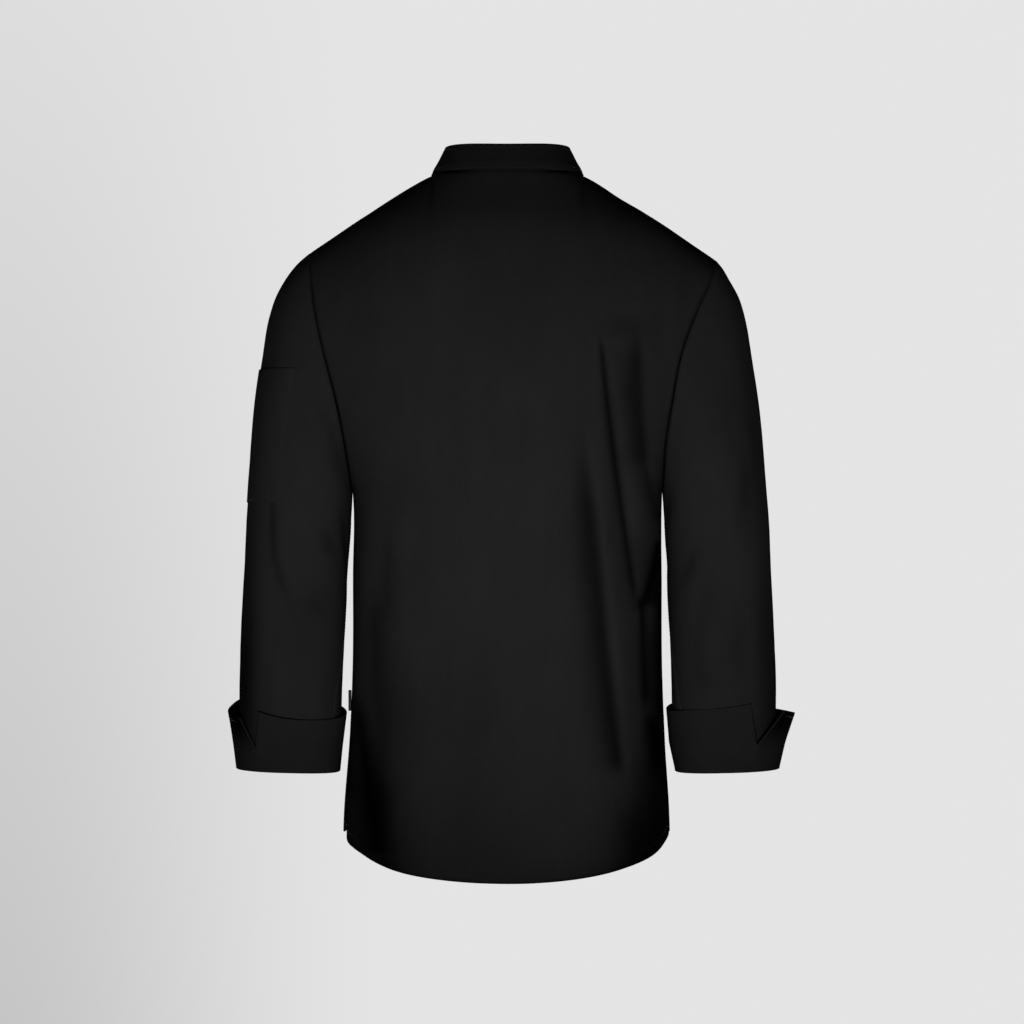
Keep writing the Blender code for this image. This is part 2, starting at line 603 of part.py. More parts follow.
def make_collar(back, left_front, right_front):
    """A stand collar on the neckline of the three panels, its front ends rounded at the top."""
    start, end = column_at(left_front, 0), column_at(left_front, NECK_SHARE)
    left = left_front.outer[-1, start:end]
    start, end = column_at(right_front, -NECK_SHARE), column_at(right_front, 0)
    right = right_front.outer[-1, start + 1 : end + 1]
    start, end = column_at(back, NECK_SHARE), column_at(back, -NECK_SHARE)
    around = back.outer[-1, start : end + 1].copy()
    around[[0, -1], 1] = 0
    foot = np.concatenate([left, around, right])
    last = len(foot) - 1
    ends = [row.along for row in COLLAR_END]
    stops = np.array([*ends, *range(1, last), *(last - end for end in ends[::-1])])
    points = np.stack([np.interp(stops, range(last + 1), foot[:, i]) for i in range(3)], -1)
    points[:, 2] += COLLAR_SEAM
    turn = stops / last * 2 * math.pi  # from the middle of the front over the left side
    front = np.cos(turn) > 0
    height = COLLAR_RISE - np.where(front, COLLAR_FRONT_DIP, COLLAR_BACK_DIP) * np.cos(turn) ** 2
    top_y = -np.where(front, COLLAR_TOP_FRONT, COLLAR_TOP_BACK) * np.cos(turn)
    top = np.stack([COLLAR_TOP_HALF_WIDTH * np.sin(turn), top_y, points[:, 2] + height], -1)
    full = np.ones(len(stops))
    full[: len(ends)] = [row.height for row in COLLAR_END]
    full[-len(ends) :] = full[: len(ends)][::-1]
    share = np.linspace(0, 1, COLLAR_ROWS + 1)[:, None, None] * full[None, :, None]
    outer = points + (top - points) * share
    along = np.gradient(outer, axis=1) * (1, 1, 0)
    inwards = unit(np.cross(along, (0, 0, 1.0)))
    wall("collar", outer, outer - COLLAR_CLOTH * inwards)


def column_at(panel, across):
    return int(np.argmin(np.abs(panel.across - across)))


def on_grid(panel, grid, across, up):
    """Points between those of a panel's grid."""
    order = np.argsort(panel.across)
    column = np.interp(across, panel.across[order], order)
    row = np.interp(up, panel.up, np.arange(len(panel.up)))
    i = np.clip(row.astype(int), 0, len(panel.up) - 2)
    j = np.clip(column.astype(int), 0, len(panel.across) - 2)
    v, u = (row - i)[..., None], (column - j)[..., None]
    low = grid[i, j] * (1 - u) + grid[i, j + 1] * u
    high = grid[i + 1, j] * (1 - u) + grid[i + 1, j + 1] * u
    return low * (1 - v) + high * v


def make_facing(back):
    """The half-moon facing inside the back of the neck."""
    half = (*NECK_COLUMNS, FACING_SIDE)
    across = np.array([*half[::-1], *(-share for share in half[1:])])
    low = 1 - FACING_DROP * np.sqrt(1 - (across / FACING_WIDTH) ** 2)
    share = np.linspace(0, 1, FACING_ROWS + 1)[:, None]
    up = low + (FACING_TOP - low) * share
    across = across + 0 * up
    outer, inner = (on_grid(back, grid, across, up) for grid in (back.outer, back.inner))
    inwards = unit(inner - outer)
    top = inner + FACING_LAYER * inwards
    wall("neck_facing", top, top + FACING_CLOTH * inwards)


def make_pocket(sleeve_grid):
    """A narrow patch pocket on the left upper sleeve, made from the sleeve's own points."""
    step = 360 / sleeve_grid.shape[1]
    heights = np.linspace(POCKET_TOP_Z, POCKET_TOP_Z - POCKET_LENGTH, POCKET_ROWS + 1)
    columns = []
    for degrees in POCKET_ANGLES:
        line = sleeve_grid[:, round(degrees / step) % sleeve_grid.shape[1]]
        # The sleeve's rings lean, so each column is read at the pocket's own heights.
        columns.append([[np.interp(-z, -line[:, 2], line[:, i]) for i in range(3)] for z in heights])
    base = np.array(columns).transpose(1, 0, 2)
    normal = grid_normals(base)
    wall("pen_pocket", base + (LAYER + POCKET_CLOTH) * normal, base + LAYER * normal)


def make_tab():
    """A small folded tab in the left side seam, above the vent."""
    wide, deep, tall = TAB_SIZE
    foot = float(read(BODY, "left", TAB_Z - tall / 2, "z"))
    bpy.ops.mesh.primitive_cube_add(size=1, location=(foot + LAYER + wide / 2, 0, TAB_Z))
    tab = bpy.context.object
    tab.name = "side_tab"
    tab.scale = (wide, deep, tall)
    add_finish(tab.data, tab.name, CLOTH_FINISH)


def make_buttons(left_front):
    """Two columns of plain buttons that stand just off the left front."""
    normal = unit(left_front.outer - left_front.inner)
    for side in (1, -1):
        for row in range(BUTTON_ROWS):
            z = BUTTON_TOP_Z - row * BUTTON_STEP
            column = column_at(left_front, side * BUTTON_ACROSS)
            line, out = left_front.outer[:, column], normal[:, column]
            seat = np.array([np.interp(z, line[:, 2], line[:, i]) for i in range(3)])
            facing = unit(np.array([np.interp(z, line[:, 2], out[:, i]) for i in range(3)]))
            centre = Vector(seat + facing * (BUTTON_GAP + BUTTON_THICK / 2))
            bpy.ops.mesh.primitive_cylinder_add(
                vertices=BUTTON_SIDES,
                radius=BUTTON_RADIUS,
                depth=BUTTON_THICK,
                location=centre,
                rotation=Vector(facing).to_track_quat("Z", "Y").to_euler(),
            )
            button = bpy.context.object
            button.name = f"button_{side_name(side)}_{row + 1}"
            add_finish(button.data, button.name, BUTTON_FINISH)


def main():
    for obj in list(bpy.data.objects):
        bpy.data.objects.remove(obj)
    back = make_back()
    left_front, right_front = make_front(1), make_front(-1)
    make_collar(back, left_front, right_front)
    make_facing(back)
    left_sleeve = make_sleeve(1)
    make_sleeve(-1)
    for side in (1, -1):
        make_cuff(side)
    make_pocket(left_sleeve)
    make_tab()
    make_buttons(left_front)


main()
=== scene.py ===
"""The finish of a chef jacket: its cloth, creases, sewing and buttons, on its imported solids.

Every panel is a thin shell of cloth on the jacket's own surface: a fine grid of points that the
folds and creases push in or out, and the same grid moved inwards by the thickness of the cloth.
"""

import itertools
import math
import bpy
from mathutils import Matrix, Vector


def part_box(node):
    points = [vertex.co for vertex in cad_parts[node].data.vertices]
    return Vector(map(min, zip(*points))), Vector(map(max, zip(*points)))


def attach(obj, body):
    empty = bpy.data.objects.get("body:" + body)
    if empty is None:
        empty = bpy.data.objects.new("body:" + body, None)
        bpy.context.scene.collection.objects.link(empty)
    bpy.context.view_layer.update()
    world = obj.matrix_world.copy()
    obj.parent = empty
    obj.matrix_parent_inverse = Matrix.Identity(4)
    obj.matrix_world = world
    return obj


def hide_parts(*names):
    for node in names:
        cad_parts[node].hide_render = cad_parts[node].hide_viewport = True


bl_info = {
    "name": "Chef jacket finish",
    "version": (1, 0, 0),
    "blender": (4, 5, 0),
    "location": "3D View > Sidebar > Chef jacket",
    "description": "Cloth shells, creases, sewing and buttons of a worn chef jacket",
    "category": "Object",
}

from collections import namedtuple

import bmesh
import bpy
import numpy as np
from bpy.props import FloatProperty, FloatVectorProperty, PointerProperty
from mathutils import Matrix, Vector
from mathutils.bvhtree import BVHTree

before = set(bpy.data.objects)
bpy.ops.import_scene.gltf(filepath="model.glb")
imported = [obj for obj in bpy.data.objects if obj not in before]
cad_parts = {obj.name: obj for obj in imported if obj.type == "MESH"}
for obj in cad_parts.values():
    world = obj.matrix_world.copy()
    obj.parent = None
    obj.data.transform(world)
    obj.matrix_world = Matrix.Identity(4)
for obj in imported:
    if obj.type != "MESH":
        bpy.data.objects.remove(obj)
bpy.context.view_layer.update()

# ---- the jacket's own sizes, in metres ---------------------------------------------------------

# In tables with the keys 1 and -1, 1 is the wearer's left side. Shares across run from 0 at the
# middle line to 1 at the side seam or armhole.

CLOTH = 0.0015
CUFF_CLOTH = 0.0020
SEAM = 0.0003  # gap between two pieces that are sewn together
ARMHOLE_SEAM = 0.0005

NECK_HALF_WIDTH = 0.083
NECK_BACK = 0.065  # how far back and forward the neckline reaches
NECK_FRONT = 0.080
NECK_RISE = 0.0028  # how much higher the neckline is at the back than at the shoulder
NECK_DROP = 0.075  # and how much lower at the front
NECK_SHARE = 0.30  # share across at which the neckline ends and the shoulder begins
SHOULDER_Z = {1: -0.0870, -1: -0.0946}
SHOULDER_SAG = 1.12  # 1 would slope the shoulder down in a straight line
UNDERARM_Z = -0.345
ARMHOLE_DEPTH = {"back": 0.074, "front": 0.066}
ARMHOLE_ROUND = 2.5  # powers with which the armhole, the shoulder and the neck round over
SHOULDER_ROUND = 4.0
NECK_CURVE = {"back": 3.5, "front": 3.3}

BACK_HEM_SIDE_Z = {1: -0.7225, -1: -0.7185}
BACK_HEM_MIDDLE_Z = -0.7630
BACK_HEM_POWER = 1.65  # 2 would make the shirt-tail hem a parabola
FRONT_HEM_SIDE_Z = -0.7205
FRONT_HEM_DIP = 0.0040
VENT_TOP_Z = -0.589
VENT_SEWN_Z = VENT_TOP_Z + 0.002
VENT_SPREAD = {1: 0.0030, -1: 0.0008}  # how far the front swings out below the vent's top
VENT_TUCK = {1: 0.0012, -1: 0.0004}  # and how far the back goes in

OVERLAP = {1: 0.24, -1: 0.18}  # how far each front reaches past the middle line
OVERLAP_TOP_Z = {1: -0.0765, -1: -0.0800}
OVERLAP_LIFT = CLOTH + 0.0012  # how far the left front lies off the right one
ROUNDNESS = 0.85  # below 1 a section is squarer than an oval

# Level sections of the body: the half widths to both sides and the depths of the two faces
Section = namedtuple("Section", "z left right back front")
BODY = (
    Section(-0.7650, 0.1780, 0.1778, 0.1300, 0.1360),
    Section(-0.7000, 0.1760, 0.1755, 0.1270, 0.1340),
    Section(-0.6200, 0.1722, 0.1710, 0.1210, 0.1320),
    Section(-0.5400, 0.1690, 0.1680, 0.1150, 0.1310),
    Section(-0.4400, 0.1687, 0.1678, 0.1130, 0.1320),
    Section(-0.3450, 0.1700, 0.1697, 0.1180, 0.1370),
    Section(-0.3000, 0.1765, 0.1717, 0.1200, 0.1390),
    Section(-0.2500, 0.1865, 0.1795, 0.1210, 0.1400),
    Section(-0.2000, 0.1998, 0.1900, 0.1205, 0.1400),
    Section(-0.1500, 0.2115, 0.2095, 0.1195, 0.1390),
    Section(-0.1150, 0.2155, 0.2240, 0.1190, 0.1385),
    Section(-0.0850, 0.2172, 0.2300, 0.1185, 0.1380),
    Section(0.0100, 0.2172, 0.2300, 0.1185, 0.1380),
)

# Folds and creases of the body, from the top down. near and far are the half widths on the side
# of the middle line and on the side of the seam. A negative depth is a ridge. dark is painted
# shade: how much darker the bottom of the crease is painted than open cloth, and fade_in and
# fade_out are the shares of the length over which the ends die away.
Crease = namedtuple(
    "Crease",
    "top_x top_z mid_x mid_z low_x low_z near far depth dark fade_in fade_out",
    defaults=(0.0, 0.3, 0.3),
)
CREASES = {
    "back": (
        # the main folds, which the solids have too
        (-0.100, -0.170, -0.127, -0.370, -0.158, -0.680, 0.0085, 0.0085, 0.0080),
        (-0.134, -0.185, -0.143, -0.283, -0.159, -0.375, 0.0110, 0.0110, 0.0060),
        (-0.078, -0.280, -0.094, -0.470, -0.122, -0.660, 0.0130, 0.0130, 0.0060),
        (-0.092, -0.290, -0.114, -0.480, -0.136, -0.690, 0.0090, 0.0090, -0.0035),
        (-0.166, -0.395, -0.153, -0.430, -0.141, -0.480, 0.0070, 0.0070, 0.0040),
        (-0.128, -0.660, -0.128, -0.715, -0.124, -0.780, 0.0200, 0.0200, 0.0060),
        (0.164, -0.530, 0.152, -0.625, 0.137, -0.780, 0.0090, 0.0090, 0.0070),
        (0.150, -0.550, 0.139, -0.620, 0.120, -0.740, 0.0100, 0.0100, -0.0030),
        (0.020, -0.530, 0.040, -0.640, 0.066, -0.740, 0.0200, 0.0200, 0.0030),
        # the sharp lines in the right half of the back
        (-0.0992, -0.174, -0.1155, -0.312, -0.1415, -0.474, 0.0028, 0.0032, 0.0042, 0.62, 0.10, 0.1),
        (-0.1320, -0.148, -0.1330, -0.168, -0.1340, -0.190, 0.0170, 0.0130, 0.0015, 0.22, 0.5, 0.5),
        (-0.1410, -0.158, -0.1425, -0.250, -0.1520, -0.334, 0.0092, 0.0050, 0.0065, 0.60, 0.3, 0.15),
        (-0.1510, -0.318, -0.1565, -0.350, -0.1660, -0.385, 0.0052, 0.0050, 0.0035, 0.45, 0.25, 0.2),
        (-0.0780, -0.252, -0.0945, -0.430, -0.1220, -0.655, 0.0086, 0.0044, 0.0075, 0.68, 0.32, 0.06),
        (-0.1650, -0.396, -0.1580, -0.434, -0.1430, -0.478, 0.0045, 0.0140, 0.0055, 0.92, 0.12, 0.15),
        (-0.1450, -0.458, -0.1475, -0.520, -0.1515, -0.592, 0.0036, 0.0075, 0.0045, 0.80, 0.12, 0.2),
        (-0.1490, -0.575, -0.1570, -0.605, -0.1630, -0.665, 0.0052, 0.0100, 0.0040, 0.82, 0.3, 0.3),
        (-0.1380, -0.372, -0.1385, -0.420, -0.1410, -0.465, 0.0080, 0.0150, 0.0004, 0.24, 0.5, 0.4),
        # the sides and the hem, where the back turns away: mostly painted shade, the first with no depth
        (-0.1665, -0.440, -0.1670, -0.530, -0.1665, -0.640, 0.0075, 0.0200, 0.0000, 0.85, 0.15, 0.2),
        (-0.1600, -0.560, -0.1620, -0.660, -0.1600, -0.775, 0.0120, 0.0300, 0.0030, 0.66, 0.3, 0.02),
        (-0.1420, -0.620, -0.1490, -0.690, -0.1450, -0.775, 0.0200, 0.0250, 0.0035, 0.44, 0.4, 0.02),
        (-0.1360, -0.665, -0.1390, -0.715, -0.1340, -0.770, 0.0125, 0.0180, 0.0050, 0.56, 0.5, 0.03),
        (0.1275, -0.375, 0.1285, -0.430, 0.1290, -0.500, 0.0062, 0.0070, 0.0012, 0.32, 0.4, 0.3),
        (0.1460, -0.440, 0.1430, -0.530, 0.1310, -0.665, 0.0150, 0.0075, 0.0050, 0.44, 0.25, 0.3),
        (0.1690, -0.550, 0.1560, -0.626, 0.1420, -0.735, 0.0065, 0.0100, 0.0060, 0.86, 0.25, 0.02),
        (0.1450, -0.590, 0.1370, -0.690, 0.1340, -0.775, 0.0165, 0.0260, 0.0050, 0.76, 0.5, 0.02),
        # small soft ones
        (0.0470, -0.480, 0.0410, -0.620, 0.0370, -0.760, 0.0300, 0.0450, 0.0006, 0.15, 0.4, 0.1),
        (0.0140, -0.500, 0.0180, -0.570, 0.0210, -0.640, 0.0120, 0.0160, 0.0012, 0.05, 0.5, 0.5),
        (0.1180, -0.300, 0.1230, -0.340, 0.1320, -0.400, 0.0120, 0.0100, 0.0016, 0.05, 0.5, 0.5),
        (0.0780, -0.185, 0.0745, -0.215, 0.0690, -0.250, 0.0050, 0.0060, -0.0010, 0.0, 0.5, 0.5),
        (0.1500, -0.130, 0.1560, -0.160, 0.1600, -0.200, 0.0100, 0.0120, 0.0015, 0.10, 0.5, 0.5),
    ),
    "front": (
        # the main folds, which the solids have too
        (0.105, -0.230, 0.120, -0.400, 0.132, -0.640, 0.0140, 0.0140, 0.0060),
        (-0.110, -0.250, -0.128, -0.420, -0.140, -0.660, 0.0120, 0.0120, 0.0065),
        (-0.120, -0.560, -0.105, -0.640, -0.095, -0.740, 0.0160, 0.0160, 0.0050),
        (0.118, -0.540, 0.102, -0.630, 0.085, -0.735, 0.0170, 0.0170, 0.0045),
        # smaller ones
        (0.1090, -0.250, 0.1230, -0.400, 0.1330, -0.560, 0.0050, 0.0070, 0.0045, 0.30, 0.4, 0.4),
        (-0.1120, -0.270, -0.1290, -0.400, -0.1400, -0.600, 0.0045, 0.0075, 0.0050, 0.35, 0.35, 0.4),
        (0.1500, -0.180, 0.1440, -0.270, 0.1520, -0.350, 0.0070, 0.0060, 0.0045, 0.30, 0.4, 0.4),
        (-0.1460, -0.200, -0.1430, -0.280, -0.1540, -0.345, 0.0060, 0.0060, 0.0040, 0.30, 0.4, 0.3),
        (0.1640, -0.400, 0.1540, -0.440, 0.1420, -0.500, 0.0040, 0.0050, 0.0045, 0.40, 0.3, 0.4),
        (-0.1640, -0.430, -0.1560, -0.480, -0.1480, -0.540, 0.0040, 0.0060, 0.0040, 0.40, 0.3, 0.4),
        (0.0760, -0.330, 0.0840, -0.450, 0.0900, -0.560, 0.0090, 0.0070, 0.0026, 0.12, 0.5, 0.4),
        (-0.0860, -0.360, -0.0920, -0.470, -0.0860, -0.560, 0.0080, 0.0080, 0.0024, 0.12, 0.5, 0.4),
        (0.1480, -0.600, 0.1430, -0.660, 0.1460, -0.730, 0.0110, 0.0080, 0.0060, 0.40, 0.4, 0.1),
        (-0.1460, -0.620, -0.1400, -0.670, -0.1420, -0.730, 0.0120, 0.0080, 0.0055, 0.40, 0.4, 0.1),
    ),
}
CREASE_POWER = 1.6  # 2 would round the bottoms of the creases off like waves
CREASE_START = 0.6  # how wide a crease starts, as a share of its full width
CREASE_FULL = 0.45  # share of its length at which it reaches that width
SEAM_FADE = 8  # power with which creases die away towards the side seams

# Rings down a sleeve: its outer and inner side, the inner one by its gap from the body, and the
# middle and half of its depth
Ring = namedtuple("Ring", "outer_x outer_z gap inner_z middle_y half_depth")
SLEEVE = (
    Ring(0.2440, -0.1150, 0.0012, -0.3500, 0.0000, 0.0675),
    Ring(0.2547, -0.1360, 0.0016, -0.3530, 0.0000, 0.0690),
    Ring(0.2627, -0.1630, 0.0020, -0.3560, -0.0010, 0.0700),
    Ring(0.2692, -0.2025, 0.0025, -0.3600, -0.0020, 0.0705),
    Ring(0.2775, -0.2550, 0.0031, -0.3660, -0.0030, 0.0700),
    Ring(0.2828, -0.3150, 0.0041, -0.3760, -0.0040, 0.0690),
    Ring(0.2868, -0.3700, 0.0056, -0.3950, -0.0050, 0.0675),
    Ring(0.2890, -0.4180, 0.0078, -0.4250, -0.0060, 0.0650),
    Ring(0.2915, -0.4650, 0.0099, -0.4680, -0.0080, 0.0615),
    Ring(0.2938, -0.5150, 0.0118, -0.5150, -0.0110, 0.0575),
    Ring(0.2958, -0.5600, 0.0130, -0.5600, -0.0140, 0.0530),
    Ring(0.2962, -0.5950, 0.0129, -0.5950, -0.0165, 0.0490),
    Ring(0.2945, -0.6260, 0.0140, -0.6260, -0.0180, 0.0475),
)
SLEEVE_END_Z = SLEEVE[-1].outer_z
RIGHT_SLEEVE_IN = 0.0005  # how much less far out the right sleeve hangs
ARMHOLE_RING = Ring(None, None, ARMHOLE_SEAM, UNDERARM_Z, 0.0, 0.0665)
CAP_RING = Ring(None, None, 0.0008, -0.3475, 0.0, 0.0668)
SLEEVE_ROUNDNESS = 0.88
CAP_RINGS = 5  # over which the sleeve's head is drawn onto the armhole
CAP_RISE = {1: (0.0008, 0.0018), -1: (0.0002, 0.0015)}  # of the ring next to it, out and up
CAP_IN = {1: 0.0004, -1: 0.0012}  # of the ring after that

# Creases of the sleeves: the middle of each, as degrees round from the outer side over the back
# and as a height, its half length and half width, how far it leans for each metre down, and its
# depth, which is negative for a ridge
Wrinkle = namedtuple("Wrinkle", "degrees z long wide lean depth")
WRINKLES = {
    1: (
        (139, -0.302, 0.022, 0.0090, 0.10, 0.0022),
        (118, -0.170, 0.030, 0.0120, -0.30, -0.0016),
        (132, -0.405, 0.016, 0.0085, 0.60, 0.0020),
        (119, -0.470, 0.020, 0.0110, 0.45, 0.0020),
        (68, -0.385, 0.045, 0.0030, 0.12, 0.0012),
        (80, -0.440, 0.030, 0.0035, 0.35, 0.0010),
        (100, -0.500, 0.040, 0.0120, 0.10, 0.0014),
        (28, -0.255, 0.050, 0.0140, -0.10, 0.0026),
        (22, -0.430, 0.060, 0.0130, 0.05, 0.0024),
        (30, -0.540, 0.070, 0.0130, -0.06, 0.0040),
        (158, -0.400, 0.030, 0.0060, 0.40, 0.0022),
        (205, -0.420, 0.028, 0.0080, -0.80, 0.0028),
        (232, -0.455, 0.026, 0.0085, -0.90, 0.0026),
        (262, -0.400, 0.045, 0.0100, -0.50, 0.0022),
        (290, -0.290, 0.060, 0.0130, 0.20, 0.0020),
        (318, -0.480, 0.050, 0.0120, 0.15, 0.0022),
        (245, -0.240, 0.050, 0.0100, 0.35, 0.0026),
    ),
    -1: (
        (160, -0.362, 0.020, 0.0080, 0.40, 0.0022),
        (60, -0.345, 0.035, 0.0080, 0.10, 0.0018),
        (72, -0.262, 0.045, 0.0110, -0.10, 0.0014),
        (120, -0.205, 0.050, 0.0100, 0.10, -0.0013),
        (134, -0.270, 0.030, 0.0070, 0.35, 0.0016),
        (128, -0.430, 0.022, 0.0080, 0.70, 0.0018),
        (105, -0.470, 0.035, 0.0130, 0.15, 0.0014),
        (118, -0.545, 0.030, 0.0110, -0.15, 0.0018),
        (78, -0.520, 0.045, 0.0110, 0.10, 0.0016),
        (38, -0.300, 0.060, 0.0110, 0.05, 0.0014),
        (14, -0.360, 0.060, 0.0120, 0.05, -0.0014),
        (42, -0.500, 0.050, 0.0100, 0.10, 0.0014),
        (12, -0.520, 0.080, 0.0140, 0.05, -0.0014),
        (200, -0.410, 0.026, 0.0080, -0.85, 0.0028),
        (226, -0.470, 0.030, 0.0090, -0.70, 0.0024),
        (258, -0.430, 0.040, 0.0100, -0.45, 0.0024),
        (300, -0.330, 0.060, 0.0120, 0.15, 0.0020),
        (250, -0.225, 0.045, 0.0110, 0.40, 0.0024),
    ),
}
METRES_A_DEGREE = 0.00118  # round the sleeve
WRINKLE_BOW = 0.12  # how far the ends of a crease bend aside, as a share of its half width
# Painted shade in the bottom of a sleeve's crease, by its depth over its width
WRINKLE_PAINTED_SHADE = 1.2

FOLD_Z = -0.6516  # the height at which the cuff is turned back on itself
FOLD_TILT = 0.0018
CUFF_LAYERS = 0.0016  # gap between the inside of the cuff and the part turned back over it
FOLD_SQUARENESS = 0.6
CUFF_RADIUS = 0.06
DEGREES_A_RADIAN = 57.3

# The V slit: the height of its foot, and its place and that of its two edges at the rim, in
# degrees round the cuff, how far the cuff stands off there, and how far it hangs to the outer side
Slit = namedtuple("Slit", "foot_z foot back_edge outer_edge stand_off shift")
CUFF_SLIT = {
    1: Slit(-0.6281, 60, 64, 45, 0.0062, 0.0018),
    -1: Slit(-0.6240, 66, 71, 39, 0.0098, 0.0032),
}
# The upper rim of both cuffs round from the slit: its height and how far it flares
Rim = namedtuple("Rim", "share left_z left_flare right_z right_flare")
CUFF_RIM = (
    Rim(0.00, -0.5946, 0.0142, -0.5870, 0.0200),
    Rim(0.12, -0.5881, 0.0121, -0.5915, 0.0201),
    Rim(0.28, -0.5760, 0.0120, -0.5885, 0.0155),
    Rim(0.40, -0.5790, 0.0112, -0.5835, 0.0120),
    Rim(0.58, -0.5870, 0.0108, -0.5835, 0.0126),
    Rim(0.68, -0.5935, 0.0105, -0.5880, 0.0124),
    Rim(0.82, -0.5970, 0.0072, -0.5860, 0.0086),
    Rim(0.92, -0.5950, 0.0062, -0.5835, 0.0068),
    Rim(1.00, -0.5878, 0.0062, -0.5789, 0.0068),
)

COLLAR_TOP_HALF_WIDTH = 0.0677
COLLAR_TOP_BACK = 0.0550
COLLAR_TOP_FRONT = 0.0665
COLLAR_RISE = 0.0303  # its height over the shoulder
COLLAR_BACK_DIP = 0.0048  # and how much lower it is in the middle of the back and the front
COLLAR_FRONT_DIP = 0.0033
COLLAR_SEAM = 0.0005
COLLAR_END_SHARE = 0.12  # how far the collar's front edge lies from the middle, in steps
COLLAR_END_HEIGHT = 0.62  # share of the height at which the end starts to round off
COLLAR_STEPS = 20  # round the neck
COLLAR_STEP = 2 * math.pi / COLLAR_STEPS
COLLAR_ROWS = (  # shares of its height
    0, 0.02, 0.05, 0.09, 0.14, 0.2, 0.28, 0.37, 0.46, 0.55, 0.64, 0.73, 0.81, 0.88, 0.94, 0.975, 1,
)

FACING_WIDTH = 0.34  # half width of the half moon, as a share across
FACING_SIDE = 0.335  # where it is cut off
FACING_DROP = 0.45  # how far it reaches down, as a share of the height above the underarm
FACING_TOP = 0.97
FACING_LAYER = 0.0010  # gap between it and the inside of the back
FACING_SEWN = 0.004
POCKET_ANGLES = (75, 0)  # its back and its front edge, in degrees round the sleeve
POCKET_TOP_Z = -0.214
POCKET_LENGTH = 0.145
POCKET_CLOTH = 0.0008
POCKET_SEWN = 0.0025
POCKET_PRESSED = 0.6  # how much thinner the cloth is towards the back edge
POCKET_PRESSED_FROM = (38, 64)
TAB_EDGE = 0.0009  # how round the tab's edges are
BUTTON_RADIUS = 0.0095
BUTTON_THICK = 0.0035
BUTTON_SLOPE = 0.0007  # width of the slope from the rim down to the dish
BUTTON_FLOOR_EDGE = 0.0010
BUTTON_EDGE = 0.00045  # how round its edges are
BUTTON_ROWS = 5
BUTTONHOLE = (-0.0035, 0.0205)  # its ends along X, from the middle of the button
BUTTONHOLE_LIP = 0.0012  # how far the middle of its worked edges lies above and below the cut

# ---- the finish's own sizes --------------------------------------------------------------------

SHELL_INSET = -0.0003  # below 0 the finished cloth lies outside the solid's outer face
COLLAR_INSET = -0.0008

# Each darkness is painted shade: the share by which a seam or a turned-away place is painted darker than
# open cloth.
ARMHOLE_PAINTED_SHADE = 0.35
ARMHOLE_PAINTED_SHADE_WIDTH = 0.0012
SLEEVE_PAINTED_SHADE = {1: 0.64, -1: 0.45}
SLEEVE_PAINTED_SHADE_Z = (-0.42, -0.54)  # from nothing at the first height to all of it at the second
SLEEVE_PAINTED_SHADE_DEGREES = 32
HEM_PAINTED_SHADE = 0.3
HEM_PAINTED_SHADE_RISE = (0.004, 0.03)  # all of it dies away over the first height, half over the second
YOKE_Z = -0.030
YOKE_SPREAD = 0.028
YOKE_ACROSS = (0.9, 0.3)  # from nothing at the first share across to all of it at the second
YOKE_DIP = 0.0025
YOKE_PAINTED_SHADE = 0.22
SHOULDER_PAINTED_SHADE = {1: 0.30, -1: 0.70}
SHOULDER_PAINTED_SHADE_DROP = 0.036  # how far down from the shoulder seam it dies away
SHOULDER_PAINTED_SHADE_ACROSS = (0.22, 0.45)
CUFF_PAINTED_SHADE = 0.93
CUFF_PAINTED_SHADE_SHARE = 0.23  # share round the cuff over which the outer flap gets painted shade
Rounding = namedtuple("Rounding", "rise centre spread")
HEM_CORNER = {1: Rounding(0.0044, 0.70, 0.17), -1: Rounding(0.0030, 0.84, 0.10)}
SHOULDER_DIP = {1: 0.0, -1: 0.0020}
SHOULDER_DIP_AT = 0.28  # share along the shoulder seam
SHOULDER_END_RISE = 0.0012
SHOULDER_SPREAD = 0.14
BODY_SIDEWAYS = 0.08  # share of a crease's depth that counts sideways
SLEEVE_SIDEWAYS = 0.5
SIDE_FULLNESS = {1: 0.0008, -1: 0.0016}  # how much fuller the finished body is below the waist
FULLER_FROM_Z = (-0.36, -0.46)
FULLER_TO_Z = (-0.80, -0.68)
VENT_POWER = 6  # how close to the side seam a vent parts the body
NECK_SOFTNESS = 0.05  # how far the corner at the neck point is spread, in shares across
HEM_RISE = 0.0120  # the hem's stitching above the edge
EDGE_RISE = 0.0065  # stitching along vents, lap edges and cuffs
COLLAR_RISE_LOW = 0.0050
COLLAR_TUCK = ((0.0026, -0.0035), (0.0026, -0.0008), (0.0024, -0.0002), (0.0012, -0.0001))
POCKET_OFF = 0.0003  # how far the finished pocket lies off the finished sleeve
TACK_STEP = 0.0006  # between stitches that lie side by side
STITCH_STRETCH = 1.08  # how much longer the thread of a stitch is than the stitch
STITCH_RISE = 0.12  # how far its middle lies off the cloth, as a share of the thread's width
STITCH_FLATNESS = 0.75
LINE_FAR = 0.05  # stands for no stitching near
RIM_BULGE = 0.35  # how far the rim of the cloth rounds out, as a share of its thickness
SEED = 7  # of the soft swells
WAVES = 14
SHORTEST_WAVE = 0.0175
WAVE_GROWTH = 1.22
WAVE_SQUEEZE = 1.25  # how much shorter the waves are round the body than down it
WAVE_AS_DEEP = 0.12  # the length of the wave that is as deep as stated


# ---- shapes ------------------------------------------------------------------------------------


def ease(low, high, at):
    """0 below low, 1 above high, and a smooth step between them."""
    share = np.clip((at - low) / (high - low), 0, 1)
    return share * share * (3 - 2 * share)


def hump(off, spread):
    """1 where off is 0, dying away smoothly on both sides of it."""
    return np.exp(-((off / spread) ** 2))


